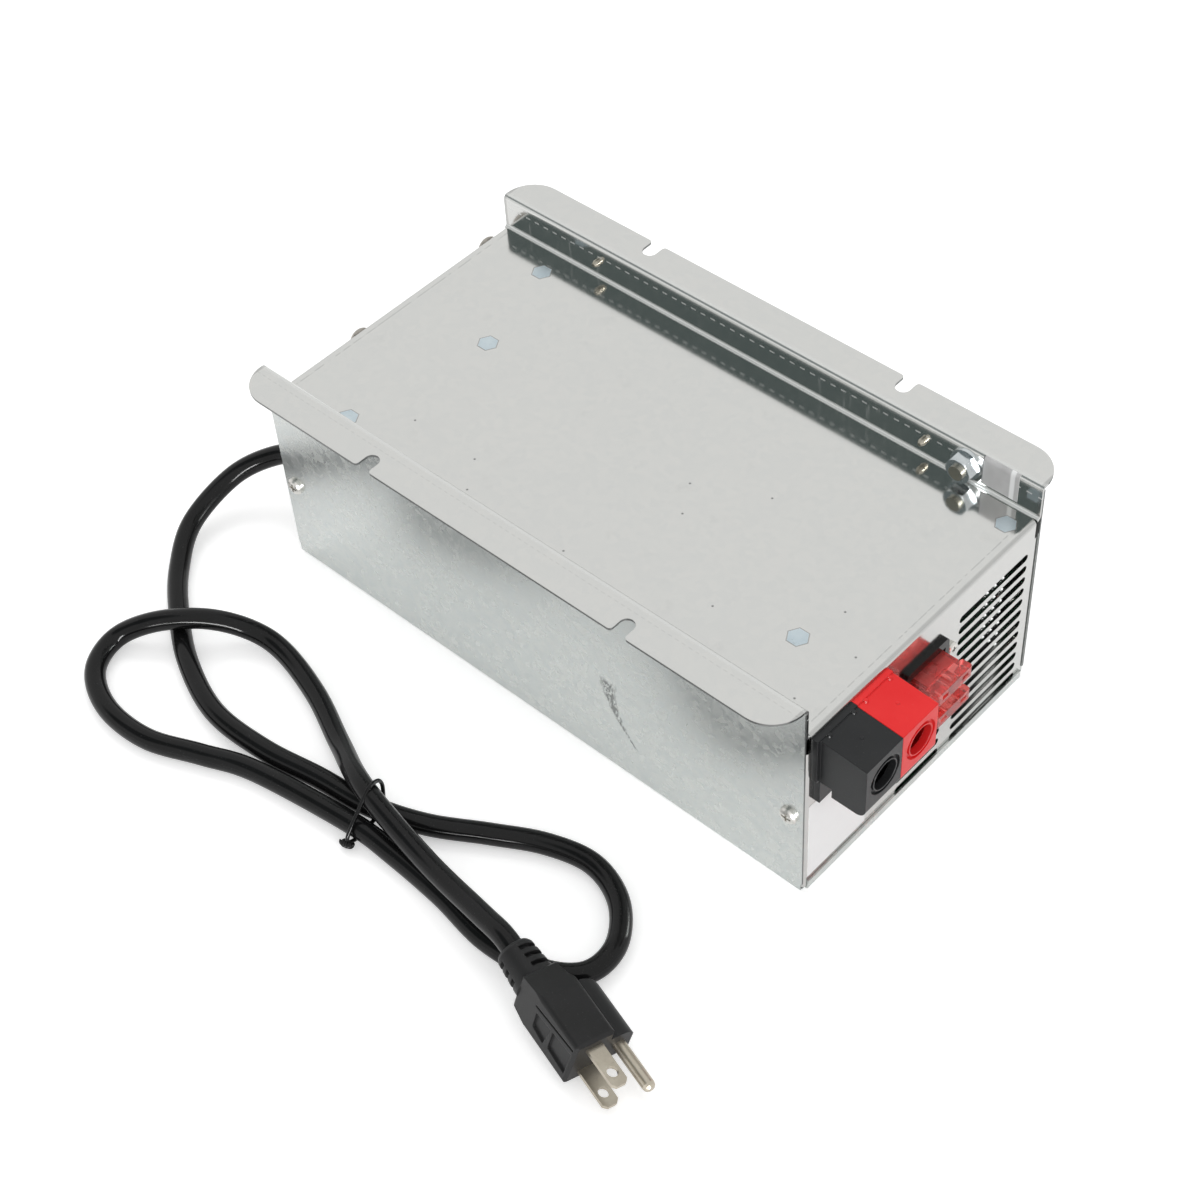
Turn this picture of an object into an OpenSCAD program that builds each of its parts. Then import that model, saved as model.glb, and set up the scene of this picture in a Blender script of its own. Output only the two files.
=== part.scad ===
// Power converter charger: a folded sheet case that lies on its cover, with its
// mounting flanges up, a fan at one end, and terminals, fuses and vents at the other.
// The case is drawn about its own centre, with the vents at +X and the cord at -X.

/* [Case] */
// Length of the case over its two end panels
case_len = 260; // [250:1:270]
// Width over the outer faces of the chassis walls
case_w = 130.4; // [130:0.1:131]
// Width over the two mounting flanges
flange_w = 160; // [156:1:170]
// Height from the cover's face to the top of the flanges
case_h = 100.5; // [99:0.5:104]
// Depth of the trough between the flanges and the base plate
trough_d = 15.1; // [14:0.1:16]
// Thickness of the chassis sheet
chassis_t = 1; // [0.8:0.1:1.2]
// Thickness of the cover sheet
cover_t = 0.8; // [0.6:0.1:1]
// Inside radius of every fold
fold_r = 1; // [0.6:0.1:1.4]
// Corner radius of the flanges
flange_corner_r = 13.5; // [8:0.5:14]

/* [Mounting slots] */
// Distance between the two open slots of a flange
slot_pitch = 122.6; // [100:0.1:150]
// Width of an open slot
slot_w = 6; // [5:0.5:7]
// Distance from the case's middle to the centre of a slot's round end
slot_reach = 75; // [73:0.5:76]
// Radius of the lips where a slot meets the flange's edge
slot_lip_r = 1.5; // [1:0.1:2]

/* [Vents] */
// Number of vent slots one above the other
vent_rows = 12; // [8:1:12]
// Distance from one vent slot to the next
vent_pitch = 5.87; // [5.5:0.01:6]
// Height of a vent slot
vent_h = 3.4; // [2.4:0.1:3.6]
// Diameter of the small round side vents
pinhole_d = 2.4; // [1.5:0.1:2.4]

/* [Fan] */
// Width of the fan's square frame
fan_size = 80; // [80:1:80]
// Distance between the fan's screws
fan_pitch = 71.5; // [71.5:0.5:71.5]
// Depth of the fan
fan_d = 25; // [25:1:25]
// Radius of the fan's round duct
duct_r = 38; // [37.8:0.1:38.2]
// Number of fan blades
fan_blades = 7; // [5:1:9]
// Turn of a blade along its depth, in degrees
blade_twist = 38; // [20:1:45]

/* [Terminals] */
// Distance from the negative to the positive terminal
terminal_pitch = 19.2; // [19.2:0.1:21]
// Diameter of the cable hole in a terminal cover
cable_hole_d = 11.7; // [10:0.1:12]
// Diameter of the cable bore in a terminal lug
lug_bore_d = 8.4; // [7:0.1:9]
// Width of a fuse
fuse_w = 19.1; // [18:0.1:19.2]

/* [Mains cord] */
// Diameter of the mains cord
cord_d = 8.4; // [7:0.1:8.4]
// Width of a plug blade
plug_blade_w = 6.35; // [6.35:0.01:6.35]
// Distance between the plug's two blades
plug_blade_pitch = 12.7; // [12.7:0.1:12.7]
// Diameter of the plug's ground pin
plug_pin_d = 4.76; // [4.76:0.01:4.76]

/* [Hidden] */
$fn = 48;
eps = 0.01;

// The bounding box runs from the cord's strain relief to the terminal covers, so
// the case's own centre stands a little towards -X.
case_x = -2.7;

// Case
half_len = case_len / 2;
wall_out = case_w / 2;
wall_in = wall_out - chassis_t;
plate_top = case_h - trough_d;
plate_under = plate_top - chassis_t;
flange_under = case_h - chassis_t;
bend_out = fold_r + chassis_t;
panel_in = half_len - chassis_t;
cover_out = wall_out + cover_t;
cover_wall_top = flange_under - fold_r - 0.1;
panel_foot = fold_r + cover_t;
notch_z = 76.5;
notch_w = 2.5;
return_len = 11.4;
lip_h = 5;
lip_gap = 0.1;

// Screws
cover_screw_x = 124;
cover_screw_z = 41;
side_screw_x = 79.25;
side_screw_z = 92.5;
ground_x = 98.3;
ground_z = 93.2;
ground_r = 3;
ground_head_af = 10;

// Blank labels: the folded one in the trough and the flat one on the panel
label_t = 0.15;
ground_label_x = [104.8, 120.3];
ground_label_z = 87.5;
panel_label_at = [-47, 27];
panel_label_size = [32, 40];

// Board and what hangs from it
board_t = 1.6;
board_top = 77.4;
board_under = board_top - board_t;
board_left = -103;
board_notch_x = 108;
board_right = 127;
board_half_w = 60;
board_notch_y = 16;
standoffs = [[-98.6, 51.8], [-85.8, 8], [-97.7, -55], [99.9, -32.5], [122.5, 54.8]];
standoff_af = 7;
core_at = [-14, 0];
core_w = 44;
core_h = 46;
core_t = 16;
winding_w = 30;
winding_t = 28;
leg_w = 14;
yoke_t = 7;
input_cap_r = 15;
input_cap_h = 46;
output_cap_r = 8;
output_cap_h = 32;
mains_block_at = [-84, -49];
mains_block_h = 13;
sink_x = 60;
sink_y = 47;
sink_h = 48;

// Fan
fan_y = 18.5;
fan_z = 43.3;
fan_x = -panel_in;
hub_r = 16;
fan_screw_head_r = 3.8;
fan_flange_t = 4;
cup_low = 4;
cup_h = 18.5;
cup_wall_r = 12.4;
bearing_r = 3.2;
shaft_r = 1.5;

// Cord exit in the fan panel
exit_y = -45;
exit_z = 28;

// Terminals and fuses
negative_y = -50.4;
terminal_z = 70.4;
terminal_ys = [negative_y, negative_y + terminal_pitch];
lug_w = 13;
lug_h = 12.8;
lug_x = [113, 142];
lug_bore_l = 16;
lug_screw_x = 136.5;
lug_screw_r = 3;
cover_flange_t = 2.4;
cover_body_w = 19;
cover_low_z = 56.2;
cover_top_z = 82.2;
cover_end_x = 151.4;
fuse_zs = [51.7, 64];
fuse_z = 57.75;
fuse_t = 5.2;
fuse_blade_y = 5.4;
fuse_pocket_x = half_len + 0.5;
fuse_y = -0.7;
panel_screw_at = [14.5, 61];

// Vent fields on the terminal panel: [low y, high y, first row, last row]
vent_fields = [[19.3, 59.5, 0, vent_rows - 1], [-13.2, 12.3, vent_rows - 3, vent_rows - 1]];
vent_top_z = 70.1;

// Side vents beside the terminal panel
pinhole_xs = [111.3, 114.4, 117.4];
pinhole_rows = 18;
pinhole_pitch = 3.1;
pinhole_low_z = 8;

// Plug: a point on its axis near its face and its turn about X, Y and Z; then, from
// that point, how far its face stands out, how deep its metal sits and where its
// ground pin is
plug_at = [122.5, -167.9, 12.3];
plug_turn = [-14.1, 7.9, -14.1];
plug_face = 1.1;
plug_root = -8;
plug_pin_y = 11.9;

// Route of the cord's centre line from the gland to the plug
cord_route = [
    [-143.5, -45, 28], [-157, -49, 24.5], [-169, -64, 17], [-169.5, -88, 8.5],
    [-157, -107, 4.6], [-139.5, -122.3, 4.3], [-117, -137, 4.3], [-90, -147, 4.3],
    [-62, -147.2, 4.3], [-36, -143, 4.5], [-11, -140.4, 5.8], [10, -132.4, 4.6],
    [30, -120.6, 4.3], [49, -110.5, 4.3], [68, -106.2, 4.3], [85.5, -112.3, 4.3],
    [97, -126.5, 4.3], [96.5, -141.3, 4.3], [83, -150.8, 4.3], [61, -154, 4.3],
    [36, -150.8, 4.3], [11, -149.4, 4.6], [-11, -150.2, 5.8], [-56, -156, 4.3],
    [-78, -164, 4.3], [-100, -172.4, 4.3], [-123, -172.4, 4.3], [-141, -163.6, 4.4],
    [-147.4, -148.5, 5.2], [-137.5, -136, 11.4], [-122, -122.5, 13],
    [-108, -112.4, 8.2], [-92, -109.8, 4.8], [-66, -116.4, 4.4], [-40, -128, 6.6],
    [-13, -140, 14.4], [26, -147.6, 13.2], [58, -152.8, 17.2], [72, -155.2, 19.4],
    [82.2, -157.8, 18.1]];
rings_per_span = 2;
cord_sides = 10;

// Tie round the three runs of the cord: its place along X, how far its two ends lie
// apart there, and its wire's way round the runs in Y and Z
tie_x = -11;
tie_step = 1.8;
tie_wire_r = 0.8;
tie_route = [
    [-161, 4.2], [-158, 3.6], [-154.2, 2.7], [-150.2, 1], [-145.3, 1], [-140.4, 1],
    [-136.8, 2.4], [-135.3, 6], [-134.6, 10.2], [-134.5, 14.4], [-136, 18], [-139.6, 19.5],
    [-142.8, 18.4], [-148.1, 14], [-153.4, 9.8], [-157, 7], [-160, 6]];

// Shared shapes

module in_case() {
    translate([case_x, 0, 0]) children();
}

// Extrudes a Y-Z profile along X, from x0 to x1
module along_x(x0, x1) {
    translate([x0, 0, 0]) rotate([90, 0, 90]) linear_extrude(x1 - x0) children();
}

// Extrudes an X-Z profile along Y, over a width centred on the case
module across_y(width) {
    rotate([90, 0, 0]) linear_extrude(width, center = true) children();
}

module both_ends() {
    children();
    mirror([1, 0, 0]) children();
}

module both_sides() {
    children();
    mirror([0, 1, 0]) children();
}

module round_rect(w, h, r) {
    square([w - 2 * r, h], center = true);
    square([w, h - 2 * r], center = true);
    for (sx = [-1, 1], sy = [-1, 1])
        translate([sx * (w / 2 - r), sy * (h / 2 - r)]) circle(r);
}

module stadium(w, h) {
    square([w - h, h], center = true);
    for (s = [-1, 1]) translate([s * (w - h) / 2, 0]) circle(d = h);
}

// Quarter ring of a fold in 2D, towards the signs sx and sy from its centre
module fold(x, y, sx, sy, inner_r, t) {
    outer_r = inner_r + t;
    translate([x, y]) intersection() {
        difference() {
            circle(outer_r);
            circle(inner_r);
        }
        translate([min(sx, 0) * outer_r, min(sy, 0) * outer_r]) square(outer_r);
    }
}

// Pan head screw with its head's seat at the origin and its head towards +Z
module pan_screw(head_r, head_h, shank_r, shank_l, cross = true) {
    difference() {
        rotate_extrude() polygon([[0, -shank_l], [shank_r * 0.5, -shank_l],
            [shank_r, -shank_l + shank_r], [shank_r, 0], [head_r, 0],
            [head_r, head_h * 0.45], [head_r * 0.82, head_h * 0.85],
            [head_r * 0.45, head_h], [0, head_h]]);
        if (cross)
            for (a = [0, 90])
                rotate(a) translate([0, 0, head_h])
                    cube([head_r * 1.1, head_r * 0.24, head_h], center = true);
    }
}

// Chassis: base plate, walls, flanges and end panels folded from one sheet

module wall_profile() {
    fold(wall_in - fold_r, plate_top + fold_r, 1, -1, fold_r, chassis_t);
    translate([wall_in, plate_top + fold_r])
        square([chassis_t, flange_under - plate_top - 2 * fold_r]);
    fold(wall_out + fold_r, flange_under - fold_r, -1, 1, fold_r, chassis_t);
    translate([wall_out + fold_r, flange_under])
        square([flange_w / 2 - wall_out - fold_r, chassis_t]);
}

module end_panel() {
    across_y(case_w - 2 * notch_w) {
        fold(half_len - bend_out, plate_top - bend_out, 1, 1, fold_r, chassis_t);
        translate([panel_in, notch_z])
            square([chassis_t, plate_top - bend_out - notch_z]);
    }
    translate([0, 0, panel_foot]) linear_extrude(notch_z - panel_foot) {
        translate([panel_in, -wall_out + bend_out])
            square([chassis_t, case_w - 2 * bend_out]);
        for (s = [-1, 1]) {
            fold(half_len - bend_out, s * (wall_out - bend_out), 1, s, fold_r, chassis_t);
            translate([half_len - return_len, s * (wall_out - chassis_t / 2) - chassis_t / 2])
                square([return_len - bend_out, chassis_t]);
        }
    }
}

module open_slot() {
    reach = flange_w / 2 - slot_reach;
    circle(d = slot_w);
    translate([-slot_w / 2, 0]) square([slot_w, reach + 1]);
    difference() {
        translate([-slot_w / 2 - slot_lip_r, reach - slot_lip_r])
            square([slot_w + 2 * slot_lip_r, slot_lip_r + 1]);
        for (s = [-1, 1])
            translate([s * (slot_w / 2 + slot_lip_r), reach - slot_lip_r])
                circle(slot_lip_r);
    }
}

module vent_slots() {
    for (f = vent_fields, row = [f[2]:f[3]])
        translate([(f[0] + f[1]) / 2, vent_top_z - row * vent_pitch])
            stadium(f[1] - f[0], vent_h);
}

module terminal_windows() {
    for (y = terminal_ys)
        translate([y, terminal_z]) square([lug_w + 2, lug_h + 2], center = true);
    translate([fuse_y, fuse_z]) square([21.4, 21], center = true);
    translate(panel_screw_at) circle(1.6);
}

// Rings of a finger guard with three spokes, punched in the fan's panel
module grille_holes() {
    translate([fan_y, fan_z]) difference() {
        for (r = [12:6.5:31.5]) difference() {
            circle(r + 4.5);
            circle(r);
        }
        for (a = [30, 90, 150]) rotate(a) square([2 * duct_r, 4], center = true);
    }
    for (sy = [-1, 1], sz = [-1, 1])
        translate([fan_y + sy * fan_pitch / 2, fan_z + sz * fan_pitch / 2]) circle(2.2);
    translate([exit_y, exit_z]) circle(6);
}

module chassis() {
    color("lightgray") in_case() difference() {
        union() {
            intersection() {
                along_x(-half_len, half_len) {
                    wall_profile();
                    mirror([1, 0]) wall_profile();
                }
                translate([0, 0, plate_under])
                    linear_extrude(trough_d + chassis_t)
                        round_rect(case_len, flange_w, flange_corner_r);
            }
            translate([bend_out - half_len, fold_r - wall_in, plate_under])
                cube([case_len - 2 * bend_out, 2 * (wall_in - fold_r), chassis_t]);
            both_ends() end_panel();
        }
        for (x = [-1, 1]) both_sides()
            translate([x * slot_pitch / 2, slot_reach, flange_under - 1])
                linear_extrude(chassis_t + 2) open_slot();
        along_x(panel_in - 1, half_len + 1) {
            vent_slots();
            terminal_windows();
        }
        along_x(-half_len - 1, 1 - panel_in) grille_holes();
        for (p = standoffs) translate([p.x, p.y, plate_under - 1])
            cylinder(chassis_t + 2, d = standoff_af / cos(30), $fn = 6);
        both_ends() both_sides() {
            translate([side_screw_x, wall_out + 1, side_screw_z])
                rotate([90, 0, 0]) cylinder(chassis_t + 2, r = 1.6);
            translate([cover_screw_x, wall_out + 1, cover_screw_z])
                rotate([90, 0, 0]) cylinder(chassis_t + 2, r = 2);
        }
        translate([ground_x, wall_out + 1, ground_z])
            rotate([90, 0, 0]) cylinder(chassis_t + 2, r = ground_r + 0.1);
    }
}

// Cover: face, side walls and end lips folded from one thinner sheet

module cover_wall_profile() {
    r = fold_r + cover_t;
    fold(cover_out - r, r, 1, -1, fold_r, cover_t);
    translate([wall_out, r]) square([cover_t, cover_wall_top - r]);
}

module cover_lip_profile() {
    lip_x = half_len + lip_gap;
    r = fold_r + cover_t;
    fold(lip_x + cover_t - r, r, 1, -1, fold_r, cover_t);
    translate([lip_x, r]) square([cover_t, lip_h - r]);
}

module cover() {
    r = fold_r + cover_t;
    face_len = case_len + 2 * (lip_gap + cover_t - r);
    color("silver") in_case() difference() {
        union() {
            along_x(-half_len, half_len) {
                cover_wall_profile();
                mirror([1, 0]) cover_wall_profile();
            }
            translate([-face_len / 2, r - cover_out, 0])
                cube([face_len, 2 * (cover_out - r), cover_t]);
            both_ends() across_y(2 * (cover_out - r) - 2) cover_lip_profile();
        }
        both_ends() both_sides() {
            translate([half_len + 0.4, cover_out - 1.2, -1]) cylinder(lip_h + 1, r = 1.5);
            translate([cover_screw_x, cover_out + 1, cover_screw_z])
                rotate([90, 0, 0]) cylinder(cover_t + 2, r = 2.1);
            translate([side_screw_x, cover_out + 1, side_screw_z])
                rotate([90, 0, 0]) cylinder(cover_t + 2, r = 1.7);
        }
        translate([ground_x, cover_out + 1, ground_z])
            rotate([90, 0, 0]) cylinder(cover_t + 2, r = ground_r + 0.2);
        for (s = [-1, 1])
            translate([-half_len - 2, fan_y + s * fan_pitch / 2, fan_z - fan_pitch / 2])
                rotate([0, 90, 0]) cylinder(4, r = fan_screw_head_r + 0.6);
        for (x = pinhole_xs, row = [0:pinhole_rows - 1])
            translate([x, cover_out + 1, pinhole_low_z + row * pinhole_pitch])
                rotate([90, 0, 0]) cylinder(cover_t + 2, d = pinhole_d, $fn = 16);
    }
}

module cover_screws() {
    color("silver") in_case() both_ends() both_sides()
        translate([cover_screw_x, cover_out, cover_screw_z])
            rotate([-90, 0, 0]) pan_screw(3.6, 2, 1.9, 6);
}

module side_screws() {
    color("khaki") in_case() both_ends() both_sides()
        translate([side_screw_x, cover_out, side_screw_z])
            rotate([-90, 0, 0]) pan_screw(2.9, 1.8, 1.5, 4.6);
}

// Ground stud and the blank labels

module ground_bolt() {
    color("darkkhaki") in_case() translate([ground_x, cover_out, ground_z])
        rotate([-90, 0, 0]) {
            cylinder(4, d = ground_head_af / cos(30), $fn = 6);
            translate([0, 0, -9]) cylinder(9 + eps, r = ground_r);
        }
}

module ground_nut() {
    color("lightsteelblue") in_case() translate([ground_x, wall_in, ground_z])
        rotate([90, 0, 0]) difference() {
            union() {
                cylinder(1.4, r = 6.4);
                intersection() {
                    cylinder(6, d = ground_head_af / cos(30), $fn = 6);
                    rotate_extrude() polygon([[0, 0], [6.4, 0], [6.4, 1.6],
                        [5.9, 5.4], [5.1, 6], [0, 6]]);
                }
            }
            translate([0, 0, -1]) cylinder(8, r = ground_r);
        }
}

module ground_label() {
    color("whitesmoke") in_case() along_x(ground_label_x[0], ground_label_x[1]) {
        translate([wall_in - label_t, ground_label_z])
            square([label_t, flange_under - fold_r - ground_label_z]);
        intersection() {
            fold(wall_out + fold_r, flange_under - fold_r, -1, 1, bend_out, label_t);
            translate([wall_in - 1, flange_under - bend_out])
                square([4, bend_out + chassis_t - 0.2]);
        }
    }
}

module panel_label() {
    color("ghostwhite") in_case() along_x(half_len, half_len + label_t)
        translate(panel_label_at) square(panel_label_size, center = true);
}

// Circuit board, hung from the base plate on five standoffs

module board_standoffs() {
    color("lightsteelblue") in_case() for (p = standoffs)
        translate([p.x, p.y, board_top]) difference() {
            union() {
                cylinder(plate_top - board_top, r = 2.8);
                translate([0, 0, plate_under - board_top])
                    cylinder(chassis_t + 0.05, d = standoff_af / cos(30), $fn = 6);
            }
            translate([0, 0, -1]) cylinder(7, r = 1.5);
        }
}

module board_screws() {
    color("silver") in_case() for (p = standoffs)
        translate([p.x, p.y, board_under]) rotate([180, 0, 0])
            pan_screw(2.9, 2.2, 1.45, 6);
}

module circuit_board() {
    color("darkgreen") in_case() translate([0, 0, board_under]) difference() {
        linear_extrude(board_t) polygon([[board_left, -board_half_w],
            [board_notch_x, -board_half_w], [board_notch_x, board_notch_y],
            [board_right, board_notch_y], [board_right, board_half_w],
            [board_left, board_half_w]]);
        for (p = standoffs) translate([p.x, p.y, -1]) cylinder(board_t + 2, r = 1.7);
    }
}

// Hangs a child, drawn upwards from z = 0, below the board at x, y
module below_board(x, y) {
    translate([x, y, board_under]) mirror([0, 0, 1]) children();
}

module transformer_core() {
    color("dimgray") in_case() below_board(core_at.x, core_at.y) difference() {
        translate([-core_w / 2, -core_t / 2, 0]) cube([core_w, core_t, core_h]);
        for (s = [-1, 1])
            translate([s * (leg_w + winding_w) / 4 - (winding_w - leg_w) / 4, -core_t, yoke_t])
                cube([(winding_w - leg_w) / 2, 2 * core_t, core_h - 2 * yoke_t]);
    }
}

module transformer_winding() {
    color("gold") in_case() below_board(core_at.x, core_at.y)
        translate([0, 0, yoke_t]) linear_extrude(core_h - 2 * yoke_t) difference() {
            round_rect(winding_w, winding_t, 4);
            square([leg_w, core_t], center = true);
        }
}

// Can with a rolled groove near its foot and a rim at its head
module capacitor(r, h) {
    rotate_extrude() polygon([[0, 0], [r, 0], [r, 2.5], [r - 0.8, 3.3], [r - 0.8, 4],
        [r, 4.8], [r, h - 0.8], [r - 0.8, h], [r - 2, h], [r - 2.3, h - 0.5],
        [0, h - 0.5]]);
}

module input_capacitors() {
    color("midnightblue") in_case() for (y = [-24, 27])
        below_board(-66, y) capacitor(input_cap_r, input_cap_h);
}

module output_capacitors() {
    color("saddlebrown") in_case() for (y = [-16, 2, 20, 38])
        below_board(84, y) capacitor(output_cap_r, output_cap_h);
}

module heat_sinks() {
    color("darkgray") in_case() both_sides() translate([-sink_x, 0, board_under - sink_h])
        difference() {
            translate([0, sink_y, 0]) cube([2 * sink_x, 12.5, sink_h]);
            for (k = [0:6])
                translate([-1, sink_y + 3, 2.6 + k * 6.6]) cube([2 * sink_x + 2, 12, 4.2]);
        }
}

module power_transistors() {
    color("black") in_case() both_sides() for (x = [-42, -14, 14, 42])
        translate([x, sink_y - 5, board_under - 34]) {
            translate([-8, 0, 0]) cube([16, 5, 21]);
            for (k = [-1:1])
                translate([k * 5.4 - 0.6, 2, 21 - eps]) cube([1.2, 0.8, 13 + eps]);
        }
}

// Wound ring core lying flat against the board
module wound_ring(r_in, r_out, h, turns) {
    difference() {
        rotate_extrude() translate([(r_in + r_out) / 2, h / 2])
            round_rect(r_out - r_in, h, 2.5);
        for (k = [0:turns - 1]) rotate(k * 360 / turns)
            translate([r_out + 0.35, 0, -1]) cylinder(h + 2, r = 0.9, $fn = 16);
    }
}

module output_choke() {
    color("peru") in_case() below_board(38, 0) wound_ring(8, 21, 18, 24);
}

module line_choke() {
    color("peru") in_case() below_board(-92, -22) wound_ring(3.5, 9.5, 11, 14);
}

module bridge_rectifier() {
    color("black") in_case() below_board(-40, -2) translate([-2.5, -15, 0])
        cube([5, 30, 22]);
}

module control_board() {
    color("darkgreen") in_case() below_board(78, -40) {
        translate([-16, -0.8, 0]) cube([32, 1.6, 30]);
        translate([-6, -2.4, 10]) cube([12, 1.6 + eps, 8]);
    }
}

module mains_terminal_block() {
    color("black") in_case() below_board(mains_block_at.x, mains_block_at.y)
        translate([-6, -8, 0]) cube([12, 16, mains_block_h]);
}

module mains_leads() {
    color("dimgray") in_case() for (k = [-1:1])
        tube(concat([[-half_len + 5, exit_y + k * 2.6, exit_z]],
            curve_points([[-half_len + 10, exit_y + k * 2.6, exit_z],
                [-half_len + 30, -47 + k * 4.2, exit_z + 8],
                [-half_len + 40, -49 + k * 5, 48],
                [-half_len + 40, -49 + k * 5, board_under - mains_block_h - 2]], 3),
            [[-half_len + 40, -49 + k * 5, board_under - mains_block_h]]), 1.2, 8, [0, 1, 0]);
}

// Fan

// Places a child, drawn along +Z from the panel inwards, on the fan's axis
module on_fan() {
    translate([fan_x, fan_y, fan_z]) rotate([90, 0, 90]) children();
}

module fan_corners() {
    for (sx = [-1, 1], sy = [-1, 1])
        translate([sx * fan_pitch / 2, sy * fan_pitch / 2]) children();
}

module fan_frame() {
    color("black") in_case() on_fan() {
        difference() {
            union() {
                for (z = [0, fan_d - fan_flange_t])
                    translate([0, 0, z]) linear_extrude(fan_flange_t)
                        round_rect(fan_size, fan_size, 4);
                cylinder(fan_d, r = fan_size / 2 - 0.5, $fn = 96);
                fan_corners() cylinder(fan_d, r = 3.9);
            }
            translate([0, 0, -1]) cylinder(fan_d + 2, r = duct_r, $fn = 96);
            fan_corners() translate([0, 0, -1]) cylinder(fan_d + 2, r = 2.15);
        }
        difference() {
            union() {
                cylinder(3, r = hub_r);
                cylinder(17, r = bearing_r);
                for (a = [45:90:315]) rotate(a)
                    translate([3, -1.6, 0]) cube([duct_r - 2.5, 3.2, 3]);
            }
            translate([0, 0, 1.5]) cylinder(fan_d, r = shaft_r + 0.05);
        }
    }
}

module fan_stator() {
    color("peru") in_case() on_fan() translate([0, 0, cup_low]) difference() {
        union() {
            cylinder(10, r = 5);
            for (a = [0:90:270]) rotate(a) {
                translate([3.5, -2, 0]) cube([7, 4, 10]);
                intersection() {
                    translate([9, -6, 1]) cube([3, 12, 8]);
                    cylinder(10, r = 11.4);
                }
            }
        }
        translate([0, 0, -1]) cylinder(12, r = bearing_r);
    }
}

// One blade's section: a strip from the hub to the tip that leans back as it goes out
module blade_section() {
    root_r = hub_r - 0.8;
    tip_r = duct_r - 0.8;
    steps = 6;
    rs = [for (i = [0:steps]) root_r + (tip_r - root_r) * i / steps];
    lean = [for (i = [0:steps]) 22 * pow(i / steps, 1.6)];
    half = [for (i = [0:steps]) 1.15 - 0.35 * i / steps];
    polygon(concat(
        [for (i = [0:steps]) let (a = lean[i] + atan(half[i] / rs[i]))
            rs[i] * [cos(a), sin(a)]],
        [for (i = [steps:-1:0]) let (a = lean[i] - atan(half[i] / rs[i]))
            rs[i] * [cos(a), sin(a)]]));
}

module fan_rotor() {
    color("dimgray") in_case() on_fan() {
        translate([0, 0, cup_low]) difference() {
            rotate_extrude() polygon([[0, 0], [hub_r, 0], [hub_r, cup_h - 1.5],
                [hub_r - 1.5, cup_h], [0, cup_h]]);
            translate([0, 0, -1]) cylinder(cup_h - 1, r = cup_wall_r);
        }
        translate([0, 0, 1.9]) cylinder(19, r = shaft_r);
        translate([0, 0, 5]) linear_extrude(15, twist = blade_twist, slices = 6, segments = 0)
            for (k = [0:fan_blades - 1]) rotate(k * 360 / fan_blades) blade_section();
    }
}

module fan_screws() {
    color("silver") in_case() for (sy = [-1, 1], sz = [-1, 1])
        translate([-half_len, fan_y + sy * fan_pitch / 2, fan_z + sz * fan_pitch / 2])
            rotate([0, -90, 0]) pan_screw(fan_screw_head_r, 2.4, 2, 9);
}

module fan_leads() {
    color("firebrick") in_case() for (k = [0, 1])
        tube(concat([[-112 + k * 3, fan_y - fan_size / 2, 62]],
            curve_points([[-112 + k * 3, -24, 62], [-104 + k * 3, -31, 65],
                [-100 + k * 3, -32, 73]], 3),
            [[-100 + k * 3, -32, board_under]]), 0.8, 8, [1, 1, 0]);
}

// Mains cord with its strain relief, tie and plug

module cord_strain_relief() {
    color("black") in_case() translate([-half_len, exit_y, exit_z]) rotate([0, -90, 0])
        rotate_extrude() polygon([[0, -5], [6.8, -5], [7.6, -1], [5.9, -1], [5.9, 0],
            [9, 0], [9, 2.2], [7.6, 3], [7.3, 5.4], [6.2, 5.6], [6.2, 6.8], [7, 7],
            [6.8, 9], [5.9, 9.2], [5.9, 10.4], [6.5, 10.6], [6.3, 12.6], [5.6, 12.8],
            [5.6, 14], [6, 14.2], [5.8, 16], [0, 16]]);
}

// Point on a smooth curve through four neighbouring points
function curve_point(a, b, c, d, t) =
    0.5 * (2 * b + (c - a) * t + (2 * a - 5 * b + 4 * c - d) * t * t
        + (3 * b - a - 3 * c + d) * t * t * t);
function curve_points(p, n) = concat(
    [for (i = [0:len(p) - 2], k = [0:n - 1])
        curve_point(p[max(i - 1, 0)], p[i], p[i + 1], p[min(i + 2, len(p) - 1)], k / n)],
    [p[len(p) - 1]]);
function unit(v) = v / norm(v);
function heading(p, i) = unit(p[min(i + 1, len(p) - 1)] - p[max(i - 1, 0)]);

// Ring of the tube's corners about point i, square to the curve there
function tube_ring(p, i, r, n, up) =
    let (t = heading(p, i), u = unit(cross(up, t)), v = cross(t, u))
    [for (k = [0:n - 1]) p[i] + r * (cos(360 * k / n) * u + sin(360 * k / n) * v)];

// Tube through the points p; up is a direction that the tube never takes
module tube(p, r, n, up = [0, 0, 1]) {
    m = len(p);
    corners = [for (i = [0:m - 1]) each tube_ring(p, i, r, n, up)];
    sides = [for (i = [0:m - 2], k = [0:n - 1])
        [i * n + k, (i + 1) * n + k, (i + 1) * n + (k + 1) % n, i * n + (k + 1) % n]];
    first = [[for (k = [0:n - 1]) k]];
    last = [[for (k = [n - 1:-1:0]) (m - 1) * n + k]];
    polyhedron(corners, concat(sides, first, last));
}

module power_cord() {
    color("black") in_case() tube(curve_points(cord_route, rings_per_span), cord_d / 2,
        cord_sides);
}

// Wire laid tight round the runs, with its two ends side by side
module cord_tie() {
    last = len(tie_route) - 1;
    route = [for (i = [0:last])
        [tie_x + tie_step * (i / last - 0.5), tie_route[i].x, tie_route[i].y]];
    color("black") in_case() tube(curve_points(route, 2), tie_wire_r, 8, [1, 0, 0]);
}

// Places a child on the plug: its face near x = 0, its pins towards +X, its ground
// pin towards +Y and its blades one above the other along Z
module on_plug() {
    in_case() translate(plug_at) rotate(plug_turn) children();
}

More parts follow.
